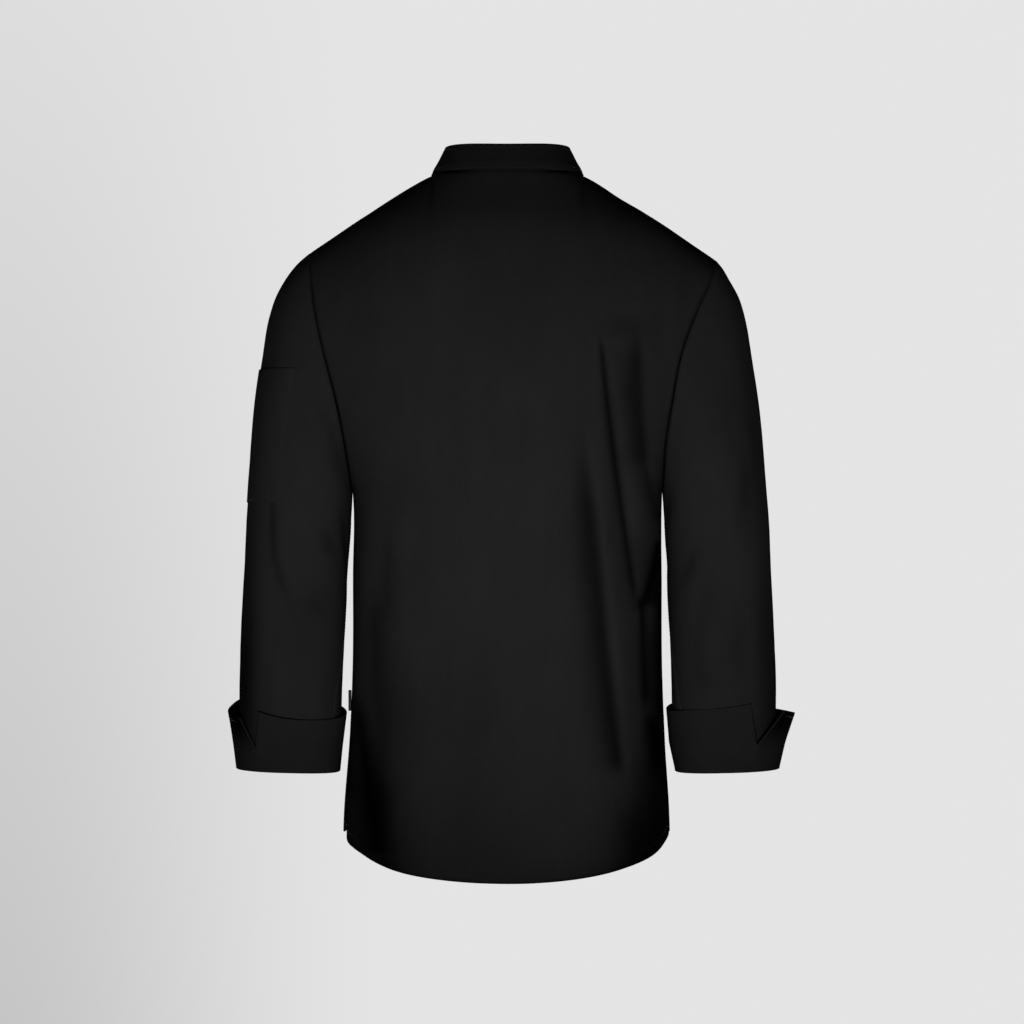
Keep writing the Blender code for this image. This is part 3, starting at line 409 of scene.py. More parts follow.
def with_painted_shade(fold, *shades):
    """Painted shade with more laid over it: each shade takes its share of the light that is left."""
    light = 1 - fold
    for shade in shades:
        light = light * (1 - shade)
    return 1 - light


def read(table, column, at, by=None):
    """A named column of a table, read between its rows along a smooth curve."""
    x = np.array([getattr(row, by) if by else i for i, row in enumerate(table)], float)
    y = np.array([getattr(row, column) for row in table], float)
    order = np.argsort(x)
    return smooth_curve(x[order], y[order], at)


def smooth_curve(x, y, at):
    """A curve through the points (x, y) that has no corners."""
    slope = np.gradient(y, x)
    at = np.clip(at, x[0], x[-1])
    i = np.clip(np.searchsorted(x, at) - 1, 0, len(x) - 2)
    step = x[i + 1] - x[i]
    s = (at - x[i]) / step
    start = (1 + 2 * s) * (1 - s) ** 2 * y[i] + s * (1 - s) ** 2 * step * slope[i]
    end = s * s * (3 - 2 * s) * y[i + 1] - s * s * (1 - s) * step * slope[i + 1]
    return start + end


def unit(vectors):
    return vectors / np.maximum(np.linalg.norm(vectors, axis=-1, keepdims=True), 1e-12)


def side_name(side):
    return "left" if side > 0 else "right"


def half_width(side, z):
    """How far the body reaches to a side at a height."""
    return read(BODY, side_name(side), z, "z")


def squarer(wave, power):
    """A sine or cosine raised to a power with its sign kept, for a section squarer than an oval."""
    return np.sign(wave) * np.abs(wave) ** power


def neckline(side, face, turn):
    """The neck seam: turn is 0 at the middle of the back or front and a right angle at the side."""
    x = side * NECK_HALF_WIDTH * np.sin(turn)
    if face == "back":
        y = NECK_BACK * np.cos(turn)
        z = NECK_RISE * (1 - np.sin(turn) ** 4)
    else:
        y = -NECK_FRONT * np.cos(turn)
        z = -NECK_DROP * np.cos(turn) ** 2
    return np.stack([x, y, z], -1)


def top_edge(side, face, across):
    """The neckline and then the shoulder seam, from the middle line out."""
    neck = neckline(side, face, np.clip(across / NECK_SHARE, 0, 1) * math.pi / 2)
    out = np.clip((across - NECK_SHARE) / (1 - NECK_SHARE), 0, 1)
    shoulder_x = half_width(side, SHOULDER_Z[side])
    x = side * (NECK_HALF_WIDTH + (shoulder_x - NECK_HALF_WIDTH) * out)
    dip = SHOULDER_DIP[side] * hump(out - SHOULDER_DIP_AT, SHOULDER_SPREAD)
    lift = SHOULDER_END_RISE * hump(out - 1, SHOULDER_SPREAD)
    shoulder = np.stack([x, 0 * x, SHOULDER_Z[side] * out**SHOULDER_SAG - dip + lift], -1)
    return np.where((across <= NECK_SHARE)[..., None], neck, shoulder)


def hem_height(side, face, across):
    if face == "front":
        return FRONT_HEM_SIDE_Z - FRONT_HEM_DIP * (1 - across**2)
    drop = BACK_HEM_MIDDLE_Z - BACK_HEM_SIDE_Z[side]
    corner = HEM_CORNER[side]
    rounded = corner.rise * hump(across - corner.centre, corner.spread)
    return BACK_HEM_SIDE_Z[side] + drop * (1 - across**BACK_HEM_POWER) + rounded


def below_underarm(side, face, across, up):
    """Full sections of the body, whose lower edge is the hem."""
    hem = hem_height(side, face, across)
    z = hem + (UNDERARM_Z - hem) * (up + 1)
    turn = across * math.pi / 2
    fuller = SIDE_FULLNESS[side] * ease(*FULLER_FROM_Z, z) * ease(*FULLER_TO_Z, z)
    half = half_width(side, z) + fuller
    parting = ease(0, 1, (VENT_TOP_Z - z) / (VENT_TOP_Z - hem)) * across**VENT_POWER
    half = half + parting * (VENT_SPREAD[side] if face == "front" else -VENT_TUCK[side])
    x = side * half * np.sin(turn) ** ROUNDNESS
    y = read(BODY, face, z, "z") * np.clip(np.cos(turn), 0, 1) ** ROUNDNESS
    return np.stack([x, y if face == "back" else -y, z], -1)


def soft_top_edge(side, face, across, up):
    """The top edge, whose corner at the neck point is smoothed out in the rows below it."""
    spread = NECK_SOFTNESS * ease(0, 0.3, 1 - up)
    taps = (-2, -1, 0, 1, 2)
    weights = np.exp(-0.5 * np.array(taps) ** 2)
    total = 0
    for tap, weight in zip(taps, weights / weights.sum()):
        at = np.clip(np.abs(across + tap * spread), 0, 1)
        total = total + weight * top_edge(side, face, at)
    total[..., 0] *= np.clip(np.abs(across) / np.maximum(spread, 1e-6), 0, 1)
    return total


def above_underarm(side, face, across, up):
    """Sections cut off by the armhole, which close over the shoulder and meet the neckline."""
    top = soft_top_edge(side, face, across, up)
    z = UNDERARM_Z + (top[..., 2] - UNDERARM_Z) * up
    edge_z = UNDERARM_Z + (SHOULDER_Z[side] - UNDERARM_Z) * up
    edge_x = half_width(side, edge_z)
    edge_y = ARMHOLE_DEPTH[face] * np.sqrt(np.clip(1 - (1 - up) ** ARMHOLE_ROUND, 0, 1))
    middle_y = read(BODY, face, z, "z")
    end = np.arccos(np.clip(edge_y / middle_y, 0, 1) ** (1 / ROUNDNESS))
    turn = across * end
    sideways = (np.sin(turn) / np.sin(end)) ** ROUNDNESS
    end_cos = np.clip(np.cos(end), 0, 1) ** ROUNDNESS
    depth = (np.clip(np.cos(turn), 0, 1) ** ROUNDNESS - end_cos) / (1 - end_cos)
    y = edge_y + (middle_y - edge_y) * depth
    outwards = np.clip(across / NECK_SHARE, 0, 1)
    power = NECK_CURVE[face] + (SHOULDER_ROUND - NECK_CURVE[face]) * ease(0, 1, outwards)
    root = 1 - 0.5 * ease(0, 1, outwards)
    closing = np.clip(1 - up**power, 0, 1) ** root
    top_y = np.abs(top[..., 1])
    y = top_y + (y - top_y) * closing
    top_share = np.abs(top[..., 0]) / half_width(side, SHOULDER_Z[side])
    x = side * edge_x * (sideways + (top_share - sideways) * up**2)
    return np.stack([x, y if face == "back" else -y, z], -1)


def body(side, face, across, up):
    """A point of the body's outer surface."""
    low = below_underarm(side, face, across, np.minimum(up, 0))
    high = above_underarm(side, face, across, np.clip(up, 0, 1))
    return np.where((up <= 0)[..., None], low, high)


def grid_normals(grid, around=False):
    """The unit normal at each point of a grid: the way along a row, crossed with the way on."""
    if around:
        wide = np.concatenate([grid[:, -1:], grid, grid[:, :1]], 1)
        along = np.gradient(wide, axis=1)[:, 1:-1]
    else:
        along = np.gradient(grid, axis=1)
    return unit(np.cross(along, np.gradient(grid, axis=0)))


def lengths(grid, axis):
    """The distance from the first point of each row or column to each of its points."""
    steps = np.linalg.norm(np.diff(grid, axis=axis), axis=-1)
    pad = [(0, 0), (0, 0)]
    pad[axis] = (1, 0)
    return np.cumsum(np.pad(steps, pad), axis=axis)


def pushed(grid, normal, depth, sideways):
    """A grid pushed in by a depth, less so to the side, which keeps the jacket's outline."""
    return grid - normal * depth[..., None] * (sideways, 1, 1)


def unevenness(u, v, size, seed):
    """Small soft hollows and swells of worn cloth, from waves of many lengths and ways."""
    random = np.random.default_rng(SEED + seed)
    total = np.zeros_like(u)
    for wave in range(WAVES):
        length = SHORTEST_WAVE * WAVE_GROWTH**wave
        way = random.uniform(0, math.pi)
        phase = random.uniform(0, 2 * math.pi)
        along = u * math.cos(way) * WAVE_SQUEEZE + v * math.sin(way)
        total += (length / WAVE_AS_DEEP) * np.sin(2 * math.pi * along / length + phase)
    return size * total / 2


def crease_depths(points, face, strength):
    """How far the folds and creases push each point of the body in, and the shade painted in them."""
    x, z = points[..., 0], points[..., 2]
    depth, light = np.zeros_like(x), np.ones_like(x)
    for crease in itertools.starmap(Crease, CREASES[face]):
        heights = (crease.top_z, crease.mid_z, crease.low_z)
        path = np.polyfit(heights, (crease.top_x, crease.mid_x, crease.low_x), 2)
        inside = np.clip(z, crease.low_z, crease.top_z)
        lean = np.polyval(np.polyder(path), inside)
        off = (x - np.polyval(path, inside)) / np.sqrt(1 + lean**2)
        outside = off * np.sign(crease.mid_x) > 0
        down = (crease.top_z - z) / (crease.top_z - crease.low_z)
        taper = ease(0, crease.fade_in, down) * ease(0, crease.fade_out, 1 - down)
        wide = np.where(outside, crease.far, crease.near)
        wide = wide * (CREASE_START + (1 - CREASE_START) * ease(0, CREASE_FULL, down))
        here = strength * taper * np.exp(-0.5 * np.abs(off / wide) ** CREASE_POWER)
        depth += crease.depth * here
        light *= 1 - crease.dark * np.clip(here, 0, 1)
    return depth, 1 - light


def wrinkle_depths(side, degrees, z, strength):
    """How far the creases push each point of a sleeve in, and the shade painted in them."""
    depth, light = np.zeros_like(z), np.ones_like(z)
    for wrinkle in itertools.starmap(Wrinkle, WRINKLES[side]):
        down = wrinkle.z - z
        round_off = (degrees - wrinkle.degrees + 180) % 360 - 180
        along = down / wrinkle.long
        off = round_off * METRES_A_DEGREE - wrinkle.lean * down
        bow = off - WRINKLE_BOW * wrinkle.wide * along**2
        here = strength * np.exp(-0.5 * np.abs(bow / wrinkle.wide) ** CREASE_POWER - along**2)
        depth += wrinkle.depth * here
        light *= 1 - np.clip(WRINKLE_PAINTED_SHADE * wrinkle.depth / wrinkle.wide * here, 0, 1)
    return depth, 1 - light


# ---- shells of cloth ---------------------------------------------------------------------------

# across and up name the grid's columns and rows; line is each point's distance to the nearest
# stitching, rise its height above the hem along the cloth, start and end its distance to the
# first and last column, and fold the shade painted into its colour, in the bottoms of
# creases, along seams, at the hem and where the cloth turns away from the light
Shell = namedtuple("Shell", "across up outer inner uv line rise start end fold", defaults=(None,))


def body_columns(side):
    """Shares across one half of the body, close together where the creases and the edge are."""
    inner = np.linspace(0, 0.36, 26)
    outer = np.linspace(0.36, 1, 96 if side < 0 else 62)
    close = 1 - np.array([0.0008, 0.0018, 0.0035, 0.0060, 0.0090]) / 0.30
    return np.unique(np.concatenate([inner, outer, close]))


def body_rows():
    """Shares up the body, below 0 under the arm and close together at the hem and the shoulder."""
    near_hem = np.array([0, 0.8, 2.0, 4.0, 6.5, 9.0, 10.6, 12.0, 13.2, 15.0]) / 1000 / 0.40
    lower = np.linspace(near_hem[-1], 1, 100)[1:]
    upper = np.sin(np.linspace(0, math.pi / 2, 112))
    return np.concatenate([near_hem - 1, lower - 1, upper[1:]])


def body_grid(face, across, up, beyond):
    """The smooth surface of one cut piece of the body."""
    columns = []
    for share in across:
        side = int(np.sign(share)) or -beyond or 1
        level = np.array(up, float)
        if side == beyond:
            top_z = top_edge(side, face, np.array([abs(share)]))[0, 2]
            lowered = (OVERLAP_TOP_Z[-beyond] - UNDERARM_Z) / (top_z - UNDERARM_Z)
            lowered = 1 + (lowered - 1) * float(ease(0, 0.03, abs(share)))
            level = np.where(level > 0, level * lowered, level)
        columns.append(body(side, face, np.full(len(up), abs(share)), level))
    return np.stack(columns, 1)


def creased_body(face, grid, up, wide, settings, beyond):
    """The body's surface with its folds, creases and swells, which die away at the seams."""
    near_seam = (1 - np.abs(wide) ** SEAM_FADE) * (1 - np.clip(up, 0, 1) ** 4)
    depth, fold = crease_depths(grid, face, settings.crease)
    seed = 1 if face == "back" else 5 + beyond
    swell = unevenness(grid[..., 0], grid[..., 2], settings.unevenness, seed)
    depth = depth * near_seam + swell * near_seam
    return pushed(grid, grid_normals(grid), depth, BODY_SIDEWAYS), fold


def seam_rolls(settings, to_side, up, z, beyond):
    """How far the body's side and armhole seams roll in, and the shade painted along the armhole."""
    roll, dark = np.zeros_like(z), np.zeros_like(z)
    for side in (1, -1):
        if beyond == side:
            continue
        armhole = hump(to_side[side], settings.armhole_roll[0]) * ease(0, 0.04, up)
        roll += settings.armhole_roll[1] * armhole * (1 - ease(0.8, 1, up))
        # Painted shade along the armhole seam.
        dark += ARMHOLE_PAINTED_SHADE * armhole * (1 - ease(0.9, 1, up))
        closed = 1 - ease(VENT_TOP_Z + 0.01, VENT_TOP_Z - 0.01, z)
        seam = hump(to_side[side], settings.seam_roll[0]) * (up <= 0)
        roll += settings.seam_roll[1] * seam * closed
    return roll, dark


def body_shell(face, across, settings, beyond=0):
    """One cut piece of the body as a shell. across runs over the middle line, positive on the left.

    beyond is the side on which a front laps over or under the other one, and stays below the
    neckline. The left front, which laps over, is lifted clear of the right one.
    """
    levels = body_rows()
    grid = body_grid(face, across, levels, beyond)
    up, wide = np.meshgrid(levels, across, indexing="ij")
    grid, fold = creased_body(face, grid, up, wide, settings, beyond)
    normal = grid_normals(grid)
    if beyond < 0:
        lift = OVERLAP_LIFT * ease(-NECK_SHARE, -OVERLAP[-1], -wide)
        grid = grid + normal * lift[..., None]
        normal = grid_normals(grid)
    over = (np.sign(wide) == beyond) & (beyond != 0)
    at_shoulder = (up >= 1) & (np.abs(wide) >= NECK_SHARE) & ~over
    seam = (np.abs(wide) >= 1) & (up <= 0) | at_shoulder
    normal[seam, 1] = 0
    normal = unit(normal)
    grid[seam, 1] = SEAM / 2 if face == "back" else -SEAM / 2
    # The edges that are sewn to another piece roll in, and the hem is two layers thick.
    rise, start = lengths(grid, 0), lengths(grid, 1)
    end = start[:, -1:] - start
    drop = rise[-1:] - rise
    to_side = {1: start, -1: end} if across[0] > across[-1] else {1: end, -1: start}
    roll, seam_painted_shade = seam_rolls(settings, to_side, up, grid[..., 2], beyond)
    at_top = hump(drop, settings.seam_roll[0])
    at_neck = hump(drop, settings.neck_roll[0]) * ease(NECK_SHARE, NECK_SHARE - 0.06, np.abs(wide))
    roll += settings.seam_roll[1] * np.where(over, 0, at_top) * 0.5
    roll += settings.neck_roll[1] * np.where(over, 0, at_neck)
    grid = grid - normal * (roll + SHELL_INSET)[..., None]
    # Painted shade along the hem.
    at_hem, near_hem = (ease(height, 0.0, rise) for height in HEM_PAINTED_SHADE_RISE)
    hem_painted_shade = HEM_PAINTED_SHADE * at_hem + 0.5 * HEM_PAINTED_SHADE * near_hem
    fold = with_painted_shade(fold, seam_painted_shade, hem_painted_shade)
    if face == "back":
        # The yoke falls in a little under the collar and gets painted shade, as do the shoulders, which
        # turn away from the light.
        yoke = hump(grid[..., 2] - YOKE_Z, YOKE_SPREAD) * ease(*YOKE_ACROSS, np.abs(wide))
        grid = grid - normal * (YOKE_DIP * yoke * (1 - at_top))[..., None]
        turned = np.where(wide > 0, SHOULDER_PAINTED_SHADE[1], SHOULDER_PAINTED_SHADE[-1])
        off_neck = ease(*SHOULDER_PAINTED_SHADE_ACROSS, np.abs(wide))
        turned = turned * hump(drop, SHOULDER_PAINTED_SHADE_DROP) * off_neck
        fold = with_painted_shade(fold, YOKE_PAINTED_SHADE * yoke, turned)
    thick = settings.thickness * (1 + 0.9 * (1 - ease(HEM_RISE - 0.001, HEM_RISE + 0.001, rise)))
    uv = body_uv(grid, across, rise, start)
    line = stitched_body_lines(face, grid, rise, drop, to_side, wide, beyond)
    inner = grid - thick[..., None] * normal
    return Shell(across, levels, grid, inner, uv, line, rise, start, end, fold)


def body_uv(grid, across, rise, start):
    """The cloth laid flat: its distance from the middle line and up from the hem, in metres."""
    middle = int(np.argmin(np.abs(across)))
    u = (start - start[:, middle : middle + 1]) * np.sign(across[-1] - across[0])
    hem = grid[0, middle, 2] - grid[0, :, 2]
    return np.stack([u, rise - hem[None, :]], -1)


def half_moon(x, z):
    """The distance to the lower edge of the facing, which is stitched through the back."""
    path = np.array(HALF_MOON)
    best = np.full(x.shape, LINE_FAR)
    for (x0, z0), (x1, z1) in zip(path[:-1], path[1:]):
        dx, dz = x1 - x0, z1 - z0
        share = np.clip(((x - x0) * dx + (z - z0) * dz) / (dx * dx + dz * dz), 0, 1)
        best = np.minimum(best, np.hypot(x - x0 - share * dx, z - z0 - share * dz))
    return best


HALF_MOON_POINTS = (
    (0.0870, -0.0560),
    (0.0795, -0.0810),
    (0.0635, -0.1090),
    (0.0455, -0.1330),
    (0.0080, -0.1520),
    (-0.0240, -0.1500),
    (-0.0425, -0.1410),
    (-0.0720, -0.1060),
    (-0.0860, -0.0740),
    (-0.0930, -0.0360),
)


def rounded_path(points, count):
    """A smooth path through a few points."""
    points = np.array(points)
    x = np.arange(len(points), dtype=float)
    at = np.linspace(0, len(points) - 1, count)
    return np.stack([smooth_curve(x, points[:, i], at) for i in range(points.shape[1])], -1)


HALF_MOON = rounded_path(HALF_MOON_POINTS, 60)


def stitched_body_lines(face, grid, rise, drop, to_side, wide, beyond):
    """How far each point of a body piece is from the nearest stitching."""
    lines = [np.abs(rise - HEM_RISE)]
    for side in (1, -1):
        edge = np.abs(to_side[side] - EDGE_RISE)
        if side == beyond:
            over = np.sign(wide) == side
            lines += [edge, np.where(over, np.abs(drop - EDGE_RISE), LINE_FAR)]
        else:
            lines.append(np.where(grid[..., 2] < VENT_SEWN_Z, edge, LINE_FAR))
    if face == "back":
        lines.append(half_moon(grid[..., 0], grid[..., 2]))
    return np.minimum(np.minimum.reduce(lines), LINE_FAR)


def back_shell(settings):
    left, right = body_columns(1), body_columns(-1)
    return body_shell("back", np.array([*left[::-1], *(-right[1:])]), settings)


def front_shell(side, settings):
    """A front panel, from just past the middle line to its own side."""
    past = np.linspace(0, OVERLAP[side], 19)
    edge = OVERLAP[side] - np.array([0.0008, 0.0022, 0.0045]) / 0.30
    past = np.unique(np.concatenate([past, edge]))
    across = side * np.array([*(-past[:0:-1]), *body_columns(1)])
    return body_shell("front", across[::side], settings, beyond=-side)


def sleeve_rings(side):
    """The sleeve's table with the two rings next to the shoulder worked out from it."""
    shoulder_x = float(half_width(side, SHOULDER_Z[side]))
    inset = 0 if side > 0 else RIGHT_SLEEVE_IN
    rings = [ring._replace(outer_x=ring.outer_x - inset) for ring in SLEEVE]
    rings[0] = rings[0]._replace(outer_x=rings[0].outer_x - CAP_IN[side])
    shoulder = ARMHOLE_RING._replace(outer_x=shoulder_x, outer_z=SHOULDER_Z[side])
    cap_x = (shoulder_x + rings[0].outer_x) / 2 + CAP_RISE[side][0]
    cap_z = (SHOULDER_Z[side] + rings[0].outer_z) / 2 + CAP_RISE[side][1]
    return [shoulder, CAP_RING._replace(outer_x=cap_x, outer_z=cap_z), *rings]


def sleeve(side, angle, down):
    """A point of the sleeve: angle from its outer side over the back, down in rings."""
    rings = sleeve_rings(side)
    inner_z = read(rings, "inner_z", down)
    inner_x = half_width(side, inner_z) + read(rings, "gap", down)
    outer_x, outer_z = read(rings, "outer_x", down), read(rings, "outer_z", down)
    swing = squarer(np.cos(angle), SLEEVE_ROUNDNESS) / 2
    x = side * ((outer_x + inner_x) / 2 + (outer_x - inner_x) * swing)
    z = (outer_z + inner_z) / 2 + (outer_z - inner_z) * swing
    depth = squarer(np.sin(angle), SLEEVE_ROUNDNESS)
    y = read(rings, "middle_y", down) + read(rings, "half_depth", down) * depth
    return np.stack([x, y, z], -1)


def armhole(side, angle):
    """The edge of the body that the sleeve is sewn to."""
    up = (1 + np.cos(angle)) / 2
    back = above_underarm(side, "back", np.ones_like(up), up)
    front = above_underarm(side, "front", np.ones_like(up), up)
    edge = np.where((np.sin(angle) >= 0)[..., None], back, front)
    edge[..., 0] += side * ARMHOLE_SEAM
    return edge


def set_in_sleeve(side, angle, down):
    """The sleeve with its top ring drawn onto the armhole."""
    start = armhole(side, angle) - sleeve(side, angle, np.zeros_like(down))
    fade = (1 - ease(0, CAP_RINGS, down))[..., None]
    return sleeve(side, angle, down) + start * fade


# The felled seam under the arm: where it lies round the sleeve at each height, in degrees
SeamPoint = namedtuple("SeamPoint", "z left right")
ARM_SEAM = (
    SeamPoint(-0.6300, 138, 134),
    SeamPoint(-0.5950, 145, 143),
    SeamPoint(-0.5500, 157, 157),
    SeamPoint(-0.5050, 172, 171),
    SeamPoint(-0.4500, 179, 179),
    SeamPoint(-0.3450, 180, 180),
)
FELL_WIDTH = 0.0065
FELL_COLUMNS = (-2.6, -1.4, -0.6, 0, 0.7, 1.5, 4.6, 5.4, 6.2, 7.0, 8.2)  # close together, in mm
FELL_SEWN = 0.0012  # how far its two rows of stitches lie inside its edges
FELL_SEWN_Z = -0.38  # the height at which they start
DEGREES_A_MILLIMETRE = 0.85  # round the sleeve at the seam
SLEEVE_RADIUS = 0.065


def sleeve_lines(side):
    """The sleeve's rows in rings, its columns in degrees, and where each point lies round it."""
    even = np.linspace(0, 360, 121)[:-1]
    close = 180 + np.array(FELL_COLUMNS) * DEGREES_A_MILLIMETRE
    degrees = np.unique(np.round(np.concatenate([even, close]), 3))
    near_top = (0, 0.03, 0.07, 0.13, 0.20, 0.30, 0.42)
    last = len(SLEEVE) + 1
    down = np.concatenate([near_top, np.arange(0.55, last - 0.05, 0.118), [last]])
    seam_z = sleeve(side, np.full(len(down), math.pi), down)[:, 2]
    shift = read(ARM_SEAM, side_name(side), seam_z, "z") - 180
    turned = degrees + shift[:, None] * ease(60, 8, np.abs(degrees - 183))
    return down, degrees, turned


def felled(depth, raised, z, height):
    """Depths with the felled seam standing up from them between its two grooves."""
    fell = ease(0, 0.0008, raised) * ease(FELL_WIDTH + 0.0006, FELL_WIDTH - 0.0006, raised)
    groove = hump(raised, 0.0009) + 0.5 * hump(raised - FELL_WIDTH, 0.0008)
    return depth - height * fell * ease(-0.37, -0.42, z) + height * 0.6 * groove


def sleeve_shell(side, settings):
    """A sleeve, whose columns follow the seam under the arm."""
    down, degrees, turned = sleeve_lines(side)
    rows, base = np.meshgrid(down, degrees, indexing="ij")
    angle = np.radians(turned)
    grid = set_in_sleeve(side, angle, rows)
    normal = -side * grid_normals(grid, around=True)
    start = lengths(grid, 0)
    depth, fold = wrinkle_depths(side, turned, grid[..., 2], settings.crease)
    around = SLEEVE_RADIUS * np.cos(angle) + 0.4 * (SLEEVE_RADIUS * np.sin(angle))
    depth += unevenness(around, grid[..., 2], settings.unevenness, 10 + side)
    raised = (base - 180) / DEGREES_A_MILLIMETRE / 1000
    depth = felled(depth, raised, grid[..., 2], settings.fell_height)
    grid = pushed(grid, normal, depth * ease(0.002, 0.03, start), SLEEVE_SIDEWAYS)
    under = 1 - ease(0.6, 0.95, np.cos(angle))
    roll = settings.armhole_roll[1] * 0.8 * hump(start, settings.armhole_roll[0]) * under
    # Towards the cuff the outer side of the sleeve turns away from the light: painted shade.
    off_outside = (turned + 180) % 360 - 180
    outside = np.exp(-0.5 * (off_outside / SLEEVE_PAINTED_SHADE_DEGREES) ** 2)
    low_painted_shade = SLEEVE_PAINTED_SHADE[side] * ease(*SLEEVE_PAINTED_SHADE_Z, grid[..., 2]) * outside
    # Painted shade along the armhole seam.
    seam_painted_shade = ARMHOLE_PAINTED_SHADE * under * hump(start, ARMHOLE_PAINTED_SHADE_WIDTH)
    fold = with_painted_shade(fold, seam_painted_shade, low_painted_shade)
    normal = -side * grid_normals(grid, around=True)
    near_body = armhole_normals(side, angle[0])
    normal[0, :, 0] = side * np.minimum(side * normal[0, :, 0], side * near_body[:, 0])
    normal = unit(normal)
    grid = grid - normal * (roll + SHELL_INSET)[..., None]
    grid, normal, base, raised, fold, start = (
        np.concatenate([values, values[:, :1]], 1) for values in (grid, normal, base, raised, fold, start)
    )
    around = lengths(grid, 1)
    uv = np.stack([around - around[:, -1:] / 2, -start], -1)
    line = np.minimum(np.abs(raised - FELL_SEWN), np.abs(raised - FELL_WIDTH + FELL_SEWN))
    line = np.minimum(np.where(grid[..., 2] < FELL_SEWN_Z, line, LINE_FAR), LINE_FAR)
    inner = grid - settings.thickness * normal
    return Shell(base[0], down, grid, inner, uv, line, start, around, start[-1:] - start, fold)


def armhole_normals(side, angle):
    """The body's outward normal along the armhole."""
    near = []
    for face, facing in (("back", 1.0), ("front", -1.0)):
        across, up = np.meshgrid([0.93, 1.0], (1 + np.cos(angle)) / 2, indexing="ij")
        grid = above_underarm(side, face, across, up)
        normal = np.cross(grid[1] - grid[0], np.gradient(grid[1], axis=0))
        near.append(normal * np.sign(normal @ np.array([side, facing, 1.0]))[:, None])
    picked = np.where((np.sin(angle) >= 0)[:, None], near[0], near[1])
    return unit(picked + 1e-9)


def cuff_ring(side, degrees, off, shift, z):
    """Points around the sleeve's end, moved out by off, and by shift to the outer side."""
    ring = sleeve_rings(side)[-1]
    inner_x = float(half_width(side, ring.inner_z)) + ring.gap
    middle_x = (ring.outer_x + inner_x) / 2 + shift
    half = (ring.outer_x - inner_x) / 2 + off
    angle = np.radians(degrees)
    x = side * (middle_x + half * squarer(np.cos(angle), SLEEVE_ROUNDNESS))
    depth = (ring.half_depth + off) * squarer(np.sin(angle), SLEEVE_ROUNDNESS)
    return np.stack([x, ring.middle_y + depth, z + 0 * x], -1)


def cuff_faces(side, share, settings):
    """The rings of a cuff's outer and inner face, and how many of them run all the way round.

    They run down in the sleeve's line, round the turned-back edge, up to the slit's foot and on to the
    rim.
    """
    slit = CUFF_SLIT[side]
    thick = settings.cuff_thickness
    middle = CUFF_LAYERS / 2
    radius = middle + CUFF_CLOTH
    whole = slit.foot - 360 * share
    tilt = FOLD_TILT * np.cos(np.radians(whole))
    around = whole / DEGREES_A_RADIAN * CUFF_RADIUS
    bulge = 0.4 * unevenness(around, 0 * whole, settings.unevenness, 20 + side)
    faces = ([], [])

    def add_rings(degrees, outer_off, inner_off, shift, z):
        for face, off in zip(faces, (outer_off, inner_off)):
            face.append(cuff_ring(side, degrees, off, shift, z))

    for down in np.linspace(0, 1, 7):
        z = SLEEVE_END_Z - SEAM + (FOLD_Z - SLEEVE_END_Z + SEAM) * down
        add_rings(whole, -CUFF_CLOTH, -CUFF_CLOTH + thick, slit.shift * down, z + tilt * down)
    for turn in np.linspace(0, math.pi, 17)[1:]:
        # A pressed fold: its section is squarer than a half circle.
        out = math.copysign(abs(math.cos(turn)) ** FOLD_SQUARENESS, math.cos(turn))
        below = math.sin(turn) ** FOLD_SQUARENESS
        for face, reach in zip(faces, (radius, radius - thick)):
            z = FOLD_Z - reach * below
            face.append(cuff_ring(side, whole, middle - reach * out, slit.shift, z + tilt))
    start = middle + radius
    offs = np.array([start, (start + slit.stand_off) / 2, slit.stand_off])
    for rise in np.linspace(0, 1, 9)[1:]:
        off = smooth_curve(np.array([0, 0.5, 1]), offs, rise) - bulge * rise
        z = FOLD_Z + (slit.foot_z - FOLD_Z) * rise + tilt * (1 - rise)
        add_rings(whole, off, off - thick, slit.shift, z)
    joined = len(faces[0])
    rim_z = read(CUFF_RIM, side_name(side) + "_z", share, "share")
    flare = read(CUFF_RIM, side_name(side) + "_flare", share, "share")
    for lift in (*np.linspace(0, 1, 13)[1:-1], 0.955, 0.985, 1.0):
        outer_edge = slit.foot + (slit.outer_edge - slit.foot) * lift
        back_edge = slit.foot + (slit.back_edge - slit.foot) * lift - 360
        off = slit.stand_off + (flare - slit.stand_off) * lift - bulge * (1 + lift)
        z = slit.foot_z + (rim_z - slit.foot_z) * lift
        add_rings(outer_edge + (back_edge - outer_edge) * share, off, off - thick, slit.shift, z)
    return np.array(faces[0]), np.array(faces[1]), joined


def cuff_shell(side, settings):
    """A turned-back cuff, and how many of its rings are below the slit."""
    edge = np.array([0.0010, 0.0025, 0.0050, 0.0065, 0.0080]) / 0.33
    share = np.unique(np.concatenate([np.linspace(0, 1, 141), edge, 1 - edge]))
    outer, inner, joined = cuff_faces(side, share, settings)
    rise, across = lengths(outer, 0), lengths(outer, 1)
    to_rim = rise[-1:] - rise
    sides = np.minimum(across, across[:, -1:] - across)
    rows = np.arange(len(outer))[:, None]
    line = np.where(rows >= joined - 1, np.abs(sides - EDGE_RISE), LINE_FAR)
    line = np.minimum(np.abs(to_rim - EDGE_RISE), line)
    # The outer flap beside the slit gets painted shade, as if it twisted away from the light.
    flap_painted_shade = ease(CUFF_PAINTED_SHADE_SHARE, 0.0, share) * ease(joined - 5, len(outer) - 6, rows)
    fold = CUFF_PAINTED_SHADE * np.where(across > 0.0016, 1, 0.3) * flap_painted_shade
    uv = np.stack([across, rise], -1)
    return Shell(share, rows[:, 0], outer, inner, uv, line, to_rim, across, sides, fold), joined


